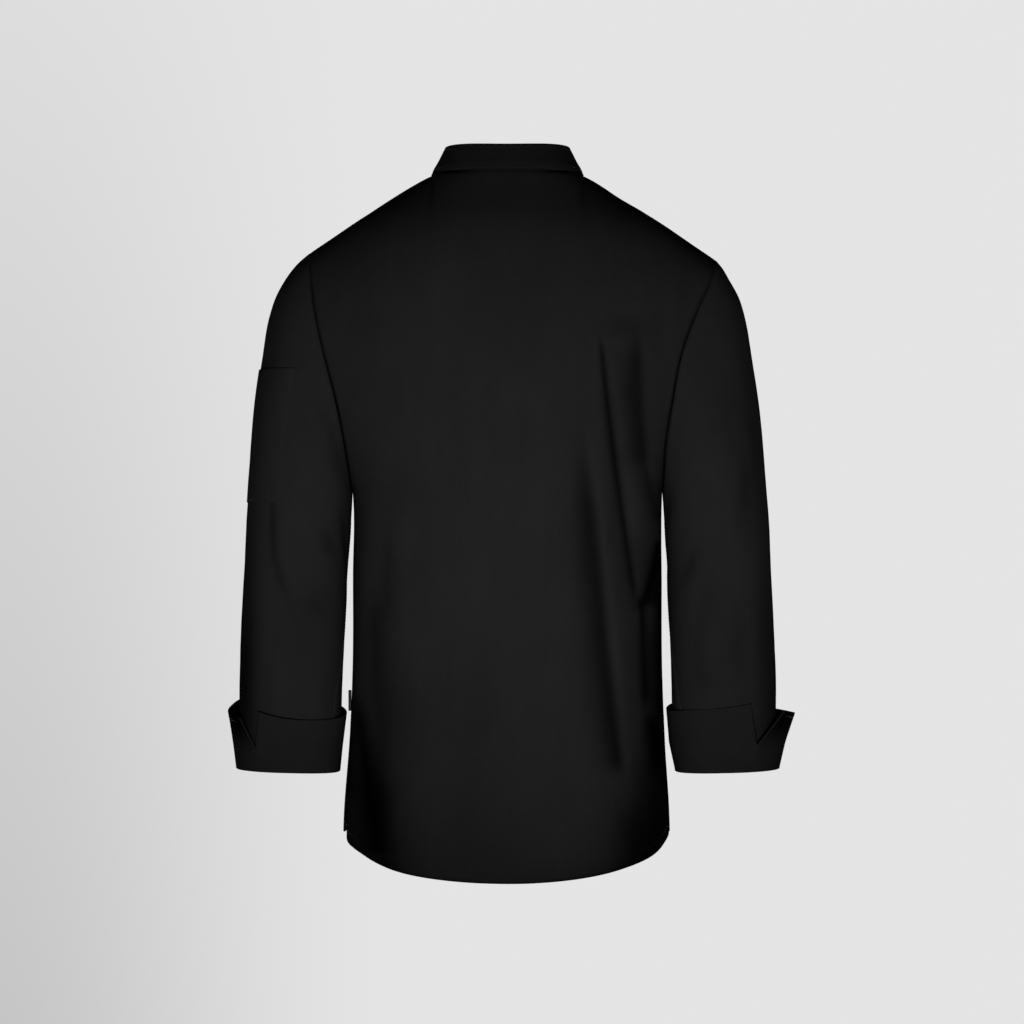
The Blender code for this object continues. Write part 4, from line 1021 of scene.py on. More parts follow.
def collar_band(stops, share, settings):
    """The collar's outer face and the way out of it: stops round it, and shares of its height."""
    turn = stops * COLLAR_STEP
    quarter = np.minimum(turn, 2 * math.pi - turn)
    front = quarter < math.pi / 2
    side = np.where(turn < math.pi, 1.0, -1.0)
    foot_front = neckline(side, "front", quarter)
    foot_back = neckline(side, "back", math.pi - quarter)
    foot = np.where(front[:, None], foot_front, foot_back)
    foot[:, 2] += COLLAR_SEAM
    height = COLLAR_RISE - np.where(front, COLLAR_FRONT_DIP, COLLAR_BACK_DIP) * np.cos(turn) ** 2
    top_y = -np.where(front, COLLAR_TOP_FRONT, COLLAR_TOP_BACK) * np.cos(turn)
    top = np.stack([COLLAR_TOP_HALF_WIDTH * np.sin(turn), top_y, foot[:, 2] + height], -1)
    from_end = np.minimum(stops, COLLAR_STEPS - stops)
    rounding = np.clip(1 - (from_end - COLLAR_END_SHARE) / (1 - COLLAR_END_SHARE), 0, 1)
    full = COLLAR_END_HEIGHT + (1 - COLLAR_END_HEIGHT) * np.sqrt(1 - rounding**2)
    up = share * full[None, :]
    grid = foot + (top - foot) * up[..., None]
    outwards = unit(np.cross(np.gradient(grid, axis=1) * (1, 1, 0), (0, 0, 1.0)))
    # The band swells a little over its foot, where the seam allowances lie inside it.
    roll = settings.collar_roll * np.sin(math.pi * np.clip(up / 0.45, 0, 1)) ** 2
    swell = unevenness(lengths(grid, 1), lengths(grid, 0), settings.unevenness * 0.5, 31)
    return grid + outwards * (roll - COLLAR_INSET + swell * 0.5)[..., None], outwards


def collar_shell(settings):
    """A stand collar on the neckline, its front ends rounded at the top."""
    stops = np.linspace(COLLAR_END_SHARE, COLLAR_STEPS - COLLAR_END_SHARE, 241)
    near_end = COLLAR_END_SHARE + np.array([0.015, 0.04, 0.08, 0.13, 0.2, 0.28])
    stops = np.unique(np.concatenate([stops, near_end, COLLAR_STEPS - near_end]))
    share = np.array(COLLAR_ROWS)[:, None]
    grid, outwards = collar_band(stops, share, settings)
    rim = hump((1 - share) * 0.03, 0.0008)
    inner = grid - outwards * (settings.collar_thickness * (1 - 0.25 * rim))[..., None]
    rise = np.pad(lengths(grid, 0), ((len(COLLAR_TUCK), 0), (0, 0)))
    # Its allowance goes in over the edge of the body and down behind it.
    low, below = grid[0], outwards[0]
    behind = low - below * (settings.collar_thickness + 0.0011)
    tuck_outer = [low - below * inset + (0, 0, lift) for inset, lift in COLLAR_TUCK]
    tuck_inner = [behind + (0, 0, lift) for inset, lift in COLLAR_TUCK]
    grid = np.concatenate([tuck_outer, grid])
    inner = np.concatenate([tuck_inner, inner])
    across = lengths(grid, 1)
    ends = np.minimum(across, across[:, -1:] - across)
    edges = (rise, rise[-1:] - rise, ends)
    line = np.minimum.reduce([np.abs(edge - COLLAR_RISE_LOW) for edge in edges])
    uv = np.stack([across, rise], -1)
    rows = np.concatenate([np.linspace(-0.2, -0.05, len(COLLAR_TUCK)), share[:, 0]])
    return Shell(stops, rows, grid, inner, uv, line, rise, across, ends)


def on_grid(shell, grid, across, up):
    """Points between those of a shell's grid."""
    order = np.argsort(shell.across)
    column = np.interp(across, shell.across[order], order)
    row = np.interp(up, shell.up, np.arange(len(shell.up)))
    i = np.clip(row.astype(int), 0, len(shell.up) - 2)
    j = np.clip(column.astype(int), 0, len(shell.across) - 2)
    v, u = (row - i)[..., None], (column - j)[..., None]
    low = grid[i, j] * (1 - u) + grid[i, j + 1] * u
    high = grid[i + 1, j] * (1 - u) + grid[i + 1, j + 1] * u
    return low * (1 - v) + high * v


def facing_shell(settings):
    """The half-moon facing inside the back of the neck, laid on the back's own points."""
    back = back_shell(settings)
    across = np.linspace(FACING_SIDE, -FACING_SIDE, 81)
    low = 1 - FACING_DROP * np.sqrt(1 - (across / FACING_WIDTH) ** 2)
    share = np.linspace(0, 1, 31)[:, None]
    up = low + (FACING_TOP - low) * share
    across = across + 0 * up
    outer, inner = (on_grid(back, grid, across, up) for grid in (back.outer, back.inner))
    inwards = unit(inner - outer)
    top = outer + (CLOTH + FACING_LAYER) * inwards
    under = top + POCKET_CLOTH * inwards
    rise, start = lengths(top, 0), lengths(top, 1)
    uv = np.stack([start - start[:, -1:] / 2, rise], -1)
    line = np.minimum(np.abs(rise - FACING_SEWN), LINE_FAR)
    return Shell(across[0], share[:, 0], top, under, uv, line, rise, start, start)


def pocket_shell(settings):
    """The pen pocket, laid on the left sleeve's own points and a little open at the top."""
    arm = sleeve_shell(1, settings)
    degrees = np.linspace(POCKET_ANGLES[0], POCKET_ANGLES[1], 46)
    heights = np.linspace(POCKET_TOP_Z, POCKET_TOP_Z - POCKET_LENGTH, 74)
    columns = []
    for at in degrees:
        j = max(int(np.searchsorted(arm.across[:-1], at)) - 1, 0)
        mix = (at - arm.across[j]) / (arm.across[j + 1] - arm.across[j])
        line = arm.outer[:, j] * (1 - mix) + arm.outer[:, j + 1] * mix
        columns.append([[np.interp(-z, -line[:, 2], line[:, i]) for i in range(3)] for z in heights])
    base = np.array(columns).transpose(1, 0, 2)
    normal = grid_normals(base)
    rise, start = lengths(base, 0), lengths(base, 1)
    end = start[:, -1:] - start
    edges = np.minimum.reduce([start, end, rise[-1:] - rise])
    puff = settings.pocket_puff * ease(0, 0.012, edges) * ease(0.5, 0.0, rise / POCKET_LENGTH)
    off = POCKET_OFF + puff
    thick = POCKET_CLOTH * (1 - POCKET_PRESSED * ease(*POCKET_PRESSED_FROM, degrees))
    outer = base + (off + thick)[..., None] * normal
    inner = base + off[..., None] * normal
    uv = np.stack([start, -rise], -1)
    return Shell(degrees, heights, outer, inner, uv, np.abs(edges - POCKET_SEWN), rise, start, end)


# ---- meshes ------------------------------------------------------------------------------------


def grid_quads(rows, columns):
    """The four corners of each cell of a grid, as the numbers of its points."""
    ids = np.arange(rows * columns).reshape(rows, columns)
    return np.stack([ids[:-1, :-1], ids[:-1, 1:], ids[1:, 1:], ids[1:, :-1]], -1).reshape(-1, 4)


def new_object(name, mesh):
    mesh.validate()
    mesh.shade_smooth()
    piece = bpy.data.objects.new(name, mesh)
    bpy.context.scene.collection.objects.link(piece)
    return piece


def add_attribute(mesh, name, values):
    """One number for each point of a mesh, which its material reads."""
    attribute = mesh.attributes.new(name, "FLOAT", "POINT")
    attribute.data.foreach_set("value", values.astype(np.float32))


def open_edges(faces, corners, count):
    """The edges that only one face has: their points and corners, and the number of that face."""
    edges = np.concatenate([faces[:, [i, (i + 1) % 4]] for i in range(4)])
    edge_corners = np.concatenate([corners[:, [i, (i + 1) % 4]] for i in range(4)])
    owners = np.tile(np.arange(len(faces)), 4)
    keys = edges[:, 0] * count + edges[:, 1]
    back_keys = edges[:, 1] * count + edges[:, 0]
    rim = ~np.isin(keys, back_keys)
    return edges[rim], edge_corners[rim], owners[rim]


def rim_ways(outer, faces, edges, owners):
    """The way out of the cloth at each point of its rim, along the cloth's own surface."""
    start, end = edges.T
    out = (outer[start] + outer[end]) / 2 - outer[faces].mean(1)[owners]
    along = unit(outer[end] - outer[start])
    out = unit(out - along * (out * along).sum(-1, keepdims=True))
    ways = np.zeros_like(outer)
    np.add.at(ways, start, out)
    np.add.at(ways, end, out)
    return ways


def cloth_piece(name, shell, ids=None, turned=False):
    """A closed piece of cloth from a shell, its rim rounded by a row of points between the faces.

    ids gives the number of each grid point, and turned says that the rows run the other way
    round, so that the faces must too.
    """
    corners = grid_quads(*shell.outer.shape[:2])
    if turned:
        corners = corners[:, ::-1]
    used, faces = np.unique(corners if ids is None else ids.reshape(-1)[corners], return_inverse=True)
    faces = faces.reshape(-1, 4)
    count = len(used)
    outer, inner = shell.outer.reshape(-1, 3)[used], shell.inner.reshape(-1, 3)[used]
    edges, edge_corners, owners = open_edges(faces, corners, count)
    rim = np.unique(edges)
    thick = np.linalg.norm(outer[rim] - inner[rim], axis=-1, keepdims=True)
    ways = unit(rim_ways(outer, faces, edges, owners)[rim])
    middles = (outer[rim] + inner[rim]) / 2 + ways * thick * RIM_BULGE
    start, end = edges.T
    mid_start, mid_end = (np.searchsorted(rim, edge) + 2 * count for edge in (start, end))
    quads = np.concatenate([
        faces,
        faces[:, ::-1] + count,
        np.stack([end, start, mid_start, mid_end], 1),
        np.stack([mid_end, mid_start, start + count, end + count], 1),
    ])
    mesh = bpy.data.meshes.new(name)
    mesh.from_pydata(np.concatenate([outer, inner, middles]).tolist(), [], quads.tolist())
    rim_uv = edge_corners[:, [1, 0, 0, 1]]
    uv_ids = np.concatenate([corners, corners[:, ::-1], rim_uv, rim_uv])
    layer = mesh.uv_layers.new(name="Cloth")
    layer.data.foreach_set("uv", shell.uv.reshape(-1, 2)[uv_ids.reshape(-1)].ravel())
    line = shell.line.reshape(-1)[used]
    add_attribute(mesh, "line", np.concatenate([line, line, line[rim]]))
    # Painted shade in full on the outer face and the rim, half of it on the inner face.
    fold = np.zeros(count) if shell.fold is None else shell.fold.reshape(-1)[used]
    add_attribute(mesh, "fold", np.concatenate([fold, fold * 0.5, fold[rim]]))
    return new_object(name, mesh)


def joined_ids(shell, joined):
    """Point numbers of a grid whose last column is its first one in as many rows as are joined."""
    rows, columns = shell.outer.shape[:2]
    ids = np.arange(rows * columns).reshape(rows, columns)
    ids[:joined, -1] = ids[:joined, 0]
    return ids


def deselect_all():
    for obj in bpy.context.selected_objects:
        obj.select_set(False)


def finish_piece(piece, material, slot, *nodes):
    """Gives a piece its material and lets it stand for its solids, which it hides. slot is not used."""
    piece.data.materials.clear()
    piece.data.materials.append(material)
    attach(piece, "root")
    if nodes:
        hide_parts(*nodes)


def finish_cloth(node, shell, material, ids=None, turned=False):
    """Makes the cloth of a shell in place of the solid that it is named after."""
    finish_piece(cloth_piece(node + "_cloth", shell, ids, turned), material, "cloth", node)


# ---- stitches ----------------------------------------------------------------------------------


def contour(shell, field, level, by_column=True, keep=None):
    """Where a field of the grid passes a level, along each of its columns or rows."""
    grid, normal = shell.outer, unit(shell.outer - shell.inner)
    keep = np.ones(field.shape, bool) if keep is None else keep
    if not by_column:
        field, keep = field.T, keep.T
        grid, normal = grid.transpose(1, 0, 2), normal.transpose(1, 0, 2)
    path = []
    for j in range(field.shape[1]):
        passed = (field[:-1, j] <= level) != (field[1:, j] <= level)
        i = int(np.argmax(passed))
        if passed[i] and keep[i, j]:
            share = (level - field[i, j]) / (field[i + 1, j] - field[i, j])
            point = grid[i, j] + (grid[i + 1, j] - grid[i, j]) * share
            path.append([*point, *normal[i, j]])
    return np.array(path)


def distances(path):
    """How far along a path of points and normals each of its points lies."""
    steps = np.linalg.norm(np.diff(path[:, :3], axis=0), axis=1)
    return np.concatenate([[0], np.cumsum(steps)])


def on_path(path, at):
    """The points and the normals at distances along a path."""
    far = distances(path)
    values = np.stack([np.interp(at, far, column) for column in path.T], -1)
    return values[:, :3], values[:, 3:]


def run_of_stitches(path, settings, start=0.001):
    """The middle, direction and normal of each stitch along a path of points and normals."""
    if len(path) < 2:
        return np.zeros((0, 9))
    pitch = settings.stitch_length + settings.stitch_gap
    count = int((distances(path)[-1] - 2 * start) / pitch)
    middles = start + pitch * (np.arange(count) + 0.5)
    half = settings.stitch_length / 2
    points, normals = on_path(path, middles)
    way = unit(on_path(path, middles + half)[0] - on_path(path, middles - half)[0])
    return np.concatenate([points, way, unit(normals)], 1)


def stitch_form(settings):
    """One stitch, as a small rounded grain of thread along X: its points and faces."""
    deselect_all()
    bpy.ops.mesh.primitive_uv_sphere_add(segments=6, ring_count=5, radius=0.5)
    grain = bpy.context.object
    bpy.ops.object.mode_set(mode="EDIT")
    bpy.ops.mesh.select_all(action="SELECT")
    size = (settings.stitch_width, settings.stitch_width, settings.stitch_length * STITCH_STRETCH)
    bpy.ops.transform.resize(value=size)
    bpy.ops.transform.rotate(value=math.pi / 2, orient_axis="Y", center_override=(0, 0, 0))
    bpy.ops.object.mode_set(mode="OBJECT")
    points = np.array([vertex.co for vertex in grain.data.vertices])
    faces = [list(face.vertices) for face in grain.data.polygons]
    bpy.data.objects.remove(grain)
    return points, faces


def sewn(name, runs, settings):
    """All the stitches of a piece as one joined mesh, half sunk into the cloth."""
    stitches = np.concatenate(runs)
    form, form_faces = stitch_form(settings)
    middle, way, out = stitches[:, :3], stitches[:, 3:6], stitches[:, 6:9]
    out = unit(out - way * (out * way).sum(-1, keepdims=True))
    middle = middle + out * settings.stitch_width * STITCH_RISE
    placed = (
        middle[:, None]
        + way[:, None] * form[None, :, :1]
        + np.cross(out, way)[:, None] * form[None, :, 1:2]
        + out[:, None] * form[None, :, 2:3] * STITCH_FLATNESS
    )
    size = len(form)
    faces = [[corner + size * i for corner in face] for i in range(len(stitches)) for face in form_faces]
    mesh = bpy.data.meshes.new(name)
    mesh.from_pydata(placed.reshape(-1, 3).tolist(), [], faces)
    piece = new_object(name, mesh)
    deselect_all()
    piece.select_set(True)
    bpy.context.view_layer.objects.active = piece
    bpy.ops.object.mode_set(mode="EDIT")
    bpy.ops.mesh.select_all(action="SELECT")
    bpy.ops.mesh.normals_make_consistent(inside=False)
    bpy.ops.object.mode_set(mode="OBJECT")
    return piece


def dense(path, step):
    """Short stitches across a path, close together, as round a buttonhole or in a bar-tack."""
    at = np.arange(step / 2, distances(path)[-1], step)
    spot, normal = on_path(path, at)
    way = unit(on_path(path, at + step)[0] - spot)
    way[-1] = way[-2] if len(way) > 1 else way[-1]
    out = unit(normal)
    return np.concatenate([spot, np.cross(out, way), out], 1)


# ---- materials ---------------------------------------------------------------------------------


def new_group(name, inputs, outputs):
    """An empty node group with named inputs and outputs, and its two end nodes."""
    tree = bpy.data.node_groups.new(name, "ShaderNodeTree")
    for label, kind, default in inputs:
        socket = tree.interface.new_socket(label, in_out="INPUT", socket_type=kind)
        if default is not None:
            socket.default_value = default
    for label, kind in outputs:
        tree.interface.new_socket(label, in_out="OUTPUT", socket_type=kind)
    return tree, tree.nodes.new("NodeGroupInput"), tree.nodes.new("NodeGroupOutput")


def math_node(tree, operation, *values):
    """A Math node whose inputs are sockets or plain numbers. Returns its output."""
    node = tree.nodes.new("ShaderNodeMath")
    node.operation = operation
    for socket, value in zip(node.inputs, values):
        if isinstance(value, (int, float)):
            socket.default_value = value
        else:
            tree.links.new(value, socket)
    return node.outputs[0]


def new_node(tree, kind, **values):
    """A node of a kind, with plain values for some of its inputs."""
    node = tree.nodes.new(kind)
    for label, value in values.items():
        node.inputs[label].default_value = value
    return node


def noise(tree, vector, scale, detail=2.0, roughness=0.5):
    node = new_node(tree, "ShaderNodeTexNoise", Scale=scale, Detail=detail, Roughness=roughness)
    tree.links.new(vector, node.inputs["Vector"])
    return node.outputs["Fac"]


def times(tree, a, b, more=None):
    """a times b, and more on top."""
    if more is None:
        return math_node(tree, "MULTIPLY", a, b)
    return math_node(tree, "MULTIPLY_ADD", a, b, more)


def plus(tree, a, b):
    return math_node(tree, "ADD", a, b)


def twill_group():
    """A steep twill: slanting ribs, each of them broken into the floats of its yarns."""
    found = bpy.data.node_groups.get("Twill weave")
    if found:
        return found
    tree, given, made = new_group(
        "Twill weave",
        [("Vector", "NodeSocketVector", None), ("Pitch", "NodeSocketFloat", 0.0009)],
        [("Height", "NodeSocketFloat"), ("Yarn", "NodeSocketFloat")],
    )
    vector, pitch = given.outputs["Vector"], given.outputs["Pitch"]
    parts = tree.nodes.new("ShaderNodeSeparateXYZ")
    tree.links.new(vector, parts.inputs[0])
    u = plus(tree, parts.outputs["X"], times(tree, noise(tree, vector, 55.0), 0.0006))
    v = parts.outputs["Y"]
    slant = plus(tree, times(tree, u, 0.866), times(tree, v, 0.5))
    rib_at = math_node(tree, "DIVIDE", slant, pitch)
    rib = math_node(tree, "SINE", times(tree, rib_at, 2 * math.pi))
    float_at = plus(tree, times(tree, math_node(tree, "DIVIDE", v, pitch), 0.75), rib_at)
    yarn = math_node(tree, "SINE", times(tree, float_at, 2 * math.pi))
    height = times(tree, yarn, 0.13, times(tree, rib, 0.35, 0.5))
    tree.links.new(height, made.inputs["Height"])
    tree.links.new(times(tree, yarn, 0.5, 0.5), made.inputs["Yarn"])
    return tree


def sewing_group():
    """What stitching does to cloth: a groove along the line, and small puckers beside it."""
    found = bpy.data.node_groups.get("Sewn line")
    if found:
        return found
    tree, given, made = new_group(
        "Sewn line",
        [
            ("Vector", "NodeSocketVector", None),
            ("Distance", "NodeSocketFloat", LINE_FAR),
            ("Groove", "NodeSocketFloat", 0.0008),
            ("Reach", "NodeSocketFloat", 0.005),
        ],
        [("Height", "NodeSocketFloat"), ("Near", "NodeSocketFloat")],
    )
    distance = given.outputs["Distance"]
    away = math_node(tree, "DIVIDE", distance, given.outputs["Groove"])
    groove = math_node(tree, "EXPONENT", times(tree, times(tree, away, away), -1.0))
    away = math_node(tree, "DIVIDE", distance, given.outputs["Reach"])
    near = math_node(tree, "EXPONENT", times(tree, away, -1.0))
    pucker = noise(tree, given.outputs["Vector"], 190.0, 1.5)
    pucker = times(tree, math_node(tree, "SUBTRACT", pucker, 0.5), near)
    height = math_node(tree, "SUBTRACT", times(tree, pucker, 1.6), groove)
    tree.links.new(height, made.inputs["Height"])
    tree.links.new(near, made.inputs["Near"])
    return tree


def tone_and_painted_shade_group():
    """Slight unevenness of a dyed black: broad patches, fine mottling, soft streaks down it; and painted
    shade.
    """
    found = bpy.data.node_groups.get("Dyed black")
    if found:
        return found
    tree, given, made = new_group(
        "Dyed black",
        [
            ("Vector", "NodeSocketVector", None),
            ("Colour", "NodeSocketColor", (0.014, 0.014, 0.014, 1)),
            ("Worn", "NodeSocketFloat", 0.0),
            ("Fold", "NodeSocketFloat", 0.0),
            ("Roughness", "NodeSocketFloat", 0.85),
        ],
        [("Colour", "NodeSocketColor"), ("Roughness", "NodeSocketFloat")],
    )
    vector = given.outputs["Vector"]
    fine = noise(tree, vector, 230.0, 3.0, 0.65)
    drawn = new_node(tree, "ShaderNodeMapping", Scale=(1.7, 0.28, 1.7))
    tree.links.new(vector, drawn.inputs["Vector"])
    streaks = noise(tree, drawn.outputs["Vector"], 26.0, 3.0, 0.6)
    bright = plus(tree, times(tree, noise(tree, vector, 9.0, 3.0), 0.34), times(tree, fine, 0.30))
    bright = plus(tree, bright, times(tree, given.outputs["Worn"], 0.28))
    bright = plus(tree, bright, times(tree, streaks, 0.24))
    # Painted shade takes away its share of the colour.
    unshaded = math_node(tree, "SUBTRACT", 1.0, given.outputs["Fold"])
    bright = times(tree, plus(tree, bright, 0.56), unshaded)
    scale = tree.nodes.new("ShaderNodeVectorMath")
    scale.operation = "SCALE"
    tree.links.new(given.outputs["Colour"], scale.inputs[0])
    tree.links.new(bright, scale.inputs["Scale"])
    tree.links.new(scale.outputs[0], made.inputs["Colour"])
    rough = plus(tree, given.outputs["Roughness"], times(tree, fine, 0.12, -0.06))
    tree.links.new(rough, made.inputs["Roughness"])
    return tree


def group_node(tree, group, **values):
    node = tree.nodes.new("ShaderNodeGroup")
    node.node_tree = group
    for label, value in values.items():
        node.inputs[label].default_value = value
    return node


def new_material(name, gloss, colour, roughness):
    """A material of a dyed colour: its tree, its shader and the group that dyes it and paints shade."""
    material = bpy.data.materials.new(name)
    material.use_nodes = True
    tree = material.node_tree
    shader = tree.nodes["Principled BSDF"]
    shader.inputs["Specular IOR Level"].default_value = gloss
    dye_and_painted_shade = group_node(tree, tone_and_painted_shade_group(), Colour=(*colour, 1), Roughness=roughness)
    tree.links.new(dye_and_painted_shade.outputs["Colour"], shader.inputs["Base Color"])
    tree.links.new(dye_and_painted_shade.outputs["Roughness"], shader.inputs["Roughness"])
    return material, tree, shader, dye_and_painted_shade


def add_relief(tree, shader, height):
    """Raises a material by a height in metres."""
    bump = new_node(tree, "ShaderNodeBump", Strength=1.0, Distance=1.0)
    tree.links.new(height, bump.inputs["Height"])
    tree.links.new(bump.outputs["Normal"], shader.inputs["Normal"])


def cloth_material(name, settings, pitch, tone, depth):
    """Black twill for one kind of piece: its ribs' pitch and depth, its tone, and painted shade."""
    found = bpy.data.materials.get(name)
    if found:
        return found
    colour = [channel * tone for channel in settings.colour]
    material, tree, shader, dye_and_painted_shade = new_material(name, settings.gloss, colour, settings.roughness)
    uv = tree.nodes.new("ShaderNodeUVMap")
    uv.uv_map = "Cloth"
    weave = group_node(tree, twill_group(), Pitch=pitch)
    sewing = group_node(tree, sewing_group())
    for node in (weave, sewing, dye_and_painted_shade):
        tree.links.new(uv.outputs["UV"], node.inputs["Vector"])
    # Each mesh's painted shade, kept in an attribute, darkens the colour.
    for label, socket in (("line", sewing.inputs["Distance"]), ("fold", dye_and_painted_shade.inputs["Fold"])):
        attribute = tree.nodes.new("ShaderNodeAttribute")
        attribute.attribute_name = label
        tree.links.new(attribute.outputs["Fac"], socket)
    tree.links.new(times(tree, sewing.outputs["Near"], 0.15), dye_and_painted_shade.inputs["Worn"])
    sunk = times(tree, sewing.outputs["Height"], settings.groove)
    add_relief(tree, shader, times(tree, weave.outputs["Height"], depth, sunk))
    return material


def twill(settings):
    return cloth_material("black_twill", settings, settings.pitch, 1.0, 0.00005)


def stiff_twill(settings):
    return cloth_material("black_twill_interlined", settings, settings.pitch * 0.9, 0.84, 0.00004)


def small_twill(settings):
    return cloth_material("black_twill_small_pieces", settings, settings.pitch, 0.96, 0.00005)


def plain_material(name, gloss, colour, roughness, grain, detail, depth):
    """A dyed material without a weave: how fine its grain is, how much detail it has, how deep."""
    found = bpy.data.materials.get(name)
    if found:
        return found
    material, tree, shader, dye_and_painted_shade = new_material(name, gloss, colour, roughness)
    place = tree.nodes.new("ShaderNodeTexCoord").outputs["Object"]
    tree.links.new(place, dye_and_painted_shade.inputs["Vector"])
    add_relief(tree, shader, times(tree, noise(tree, place, grain, detail), depth))
    return material


def thread_material(sewing):
    """Black polyester thread, a little shinier than the cloth, with a fine twist."""
    return plain_material("black_thread", 0.10, sewing.colour, 0.55, 2400.0, 1.0, 0.00012)


def button_material(buttons):
    """Satin black resin with a faint cloud in it and fine scratches."""
    return plain_material("black_resin", 0.4, buttons.colour, buttons.roughness, 900.0, 2.0, 0.00002)


# ---- sizes and colours that a user would change ------------------------------------------------


class JacketCloth(bpy.types.PropertyGroup):
    """The cloth: its thickness, creases, weave and colour."""

    thickness: FloatProperty(
        name="Cloth thickness", description="Thickness of the body and sleeve cloth",
        default=0.0012, unit="LENGTH",
    )
    cuff_thickness: FloatProperty(
        name="Cuff thickness", description="Thickness of each layer of a cuff",
        default=0.0018, unit="LENGTH",
    )
    collar_thickness: FloatProperty(
        name="Collar thickness", description="Thickness of the stand collar",
        default=0.0023, unit="LENGTH",
    )
    crease: FloatProperty(
        name="Crease strength", description="How deep all the folds and creases are, 1 as worn",
        default=1.0, min=0, max=1.5,
    )
    unevenness: FloatProperty(
        name="Unevenness", description="Depth of the soft swells all over the cloth",
        default=0.0004, unit="LENGTH",
    )
    armhole_roll: FloatVectorProperty(
        name="Armhole roll", description="Width and depth of the groove along the armhole seam",
        default=(0.0028, 0.0014), size=2, unit="LENGTH",
    )
    seam_roll: FloatVectorProperty(
        name="Seam roll", description="Width and depth of the groove along the other seams",
        default=(0.0018, 0.0007), size=2, unit="LENGTH",
    )
    neck_roll: FloatVectorProperty(
        name="Neck roll", description="Width and depth of the hollow under the collar",
        default=(0.0050, 0.0016), size=2, unit="LENGTH",
    )
    fell_height: FloatProperty(
        name="Felled seam", description="How far the felled seam under the arm stands up",
        default=0.0009, unit="LENGTH",
    )
    collar_roll: FloatProperty(
        name="Collar roll", description="How far the collar swells over its foot",
        default=0.0006, unit="LENGTH",
    )
    pocket_puff: FloatProperty(
        name="Pocket puff", description="How far the pen pocket's mouth stands off the sleeve",
        default=0.0006, unit="LENGTH",
    )
    pitch: FloatProperty(
        name="Twill pitch", description="Distance between two ribs of the twill",
        default=0.0009, unit="LENGTH",
    )
    groove: FloatProperty(
        name="Stitch groove", description="How deep a line of stitching sinks into the cloth",
        default=0.0003, unit="LENGTH",
    )
    colour: FloatVectorProperty(
        name="Cloth colour", description="Base colour of the black twill",
        default=(0.0145, 0.0145, 0.0145), size=3, subtype="COLOR", min=0, max=1,
    )
    roughness: FloatProperty(
        name="Cloth roughness", description="Roughness of the twill", default=0.88, min=0, max=1,
    )
    gloss: FloatProperty(
        name="Cloth gloss", description="Specular level of the twill", default=0.0, min=0, max=1,
    )


class JacketSewing(bpy.types.PropertyGroup):
    """The thread and its stitches."""

    stitch_length: FloatProperty(
        name="Stitch length", description="Length of one stitch", default=0.0029, unit="LENGTH",
    )
    stitch_gap: FloatProperty(
        name="Stitch gap", description="Gap between two stitches", default=0.0008, unit="LENGTH",
    )
    stitch_width: FloatProperty(
        name="Thread width", description="Thickness of the thread", default=0.00048, unit="LENGTH",
    )
    colour: FloatVectorProperty(
        name="Thread colour", description="Base colour of the thread",
        default=(0.0115, 0.0115, 0.0115), size=3, subtype="COLOR", min=0, max=1,
    )


class JacketButtons(bpy.types.PropertyGroup):
    """The buttons."""

    hole: FloatProperty(
        name="Hole radius", description="Radius of each of the four holes",
        default=0.0010, unit="LENGTH",
    )
    hole_step: FloatProperty(
        name="Hole spacing", description="Distance from the middle of the button to a hole",
        default=0.0026, unit="LENGTH",
    )
    rim: FloatProperty(
        name="Rim width", description="Width of the raised rim", default=0.0018, unit="LENGTH",
    )
    dish: FloatProperty(
        name="Dish depth", description="How deep the middle lies below the rim",
        default=0.0008, unit="LENGTH",
    )
    colour: FloatVectorProperty(
        name="Button colour", description="Base colour of the resin",
        default=(0.011, 0.011, 0.012), size=3, subtype="COLOR", min=0, max=1,
    )
    roughness: FloatProperty(
        name="Button roughness", description="Roughness of the resin", default=0.34, min=0, max=1,
    )


class JacketStage(bpy.types.PropertyGroup):
    """The floor, lights, backdrop and camera."""

    floor_radius: FloatProperty(
        name="Floor radius", description="Radius of the plain floor", default=2.9, unit="LENGTH",
    )
    floor_drop: FloatProperty(
        name="Floor drop", description="How far below the neck the floor lies",
        default=1.45, unit="LENGTH",
    )
    light: FloatProperty(
        name="Light", description="Power of the main lights, in watts", default=285.0,
    )
    light_rise: FloatProperty(
        name="Light aim", description="How far above the middle of the jacket the lights look",
        default=0.03, unit="LENGTH",
    )
    beam: FloatProperty(
        name="Beam", description="Full angle of each light's beam",
        default=math.radians(23.5), subtype="ANGLE",
    )
    ambient: FloatProperty(
        name="Ambient", description="Strength of the light from all round", default=0.04,
    )
    backdrop: FloatVectorProperty(
        name="Backdrop colour", description="Colour of the pale backdrop",
        default=(0.778, 0.778, 0.778), size=3, subtype="COLOR", min=0, max=1,
    )
    floor_glow: FloatProperty(
        name="Floor glow", description="How pale the floor looks to the camera, beyond its own light",
        default=0.86, min=0,
    )
    camera_distance: FloatProperty(
        name="Camera distance", description="How far the camera stands from the middle of the jacket",
        default=3.5, unit="LENGTH",
    )
    view_width: FloatProperty(
        name="View width", description="Width that the camera sees at the jacket's middle",
        default=1.1264, unit="LENGTH",
    )


GROUPS = {
    "jacket_cloth": JacketCloth,
    "jacket_sewing": JacketSewing,
    "jacket_buttons": JacketButtons,
    "jacket_stage": JacketStage,
}


# ---- operators ---------------------------------------------------------------------------------


class JACKET_OT_back(bpy.types.Operator):
    """Make the back panel's cloth"""

    bl_idname = "jacket.back"
    bl_label = "Back panel"

    def execute(self, context):
        settings = context.scene.jacket_cloth
        finish_cloth("back_panel", back_shell(settings), twill(settings))
        return {"FINISHED"}


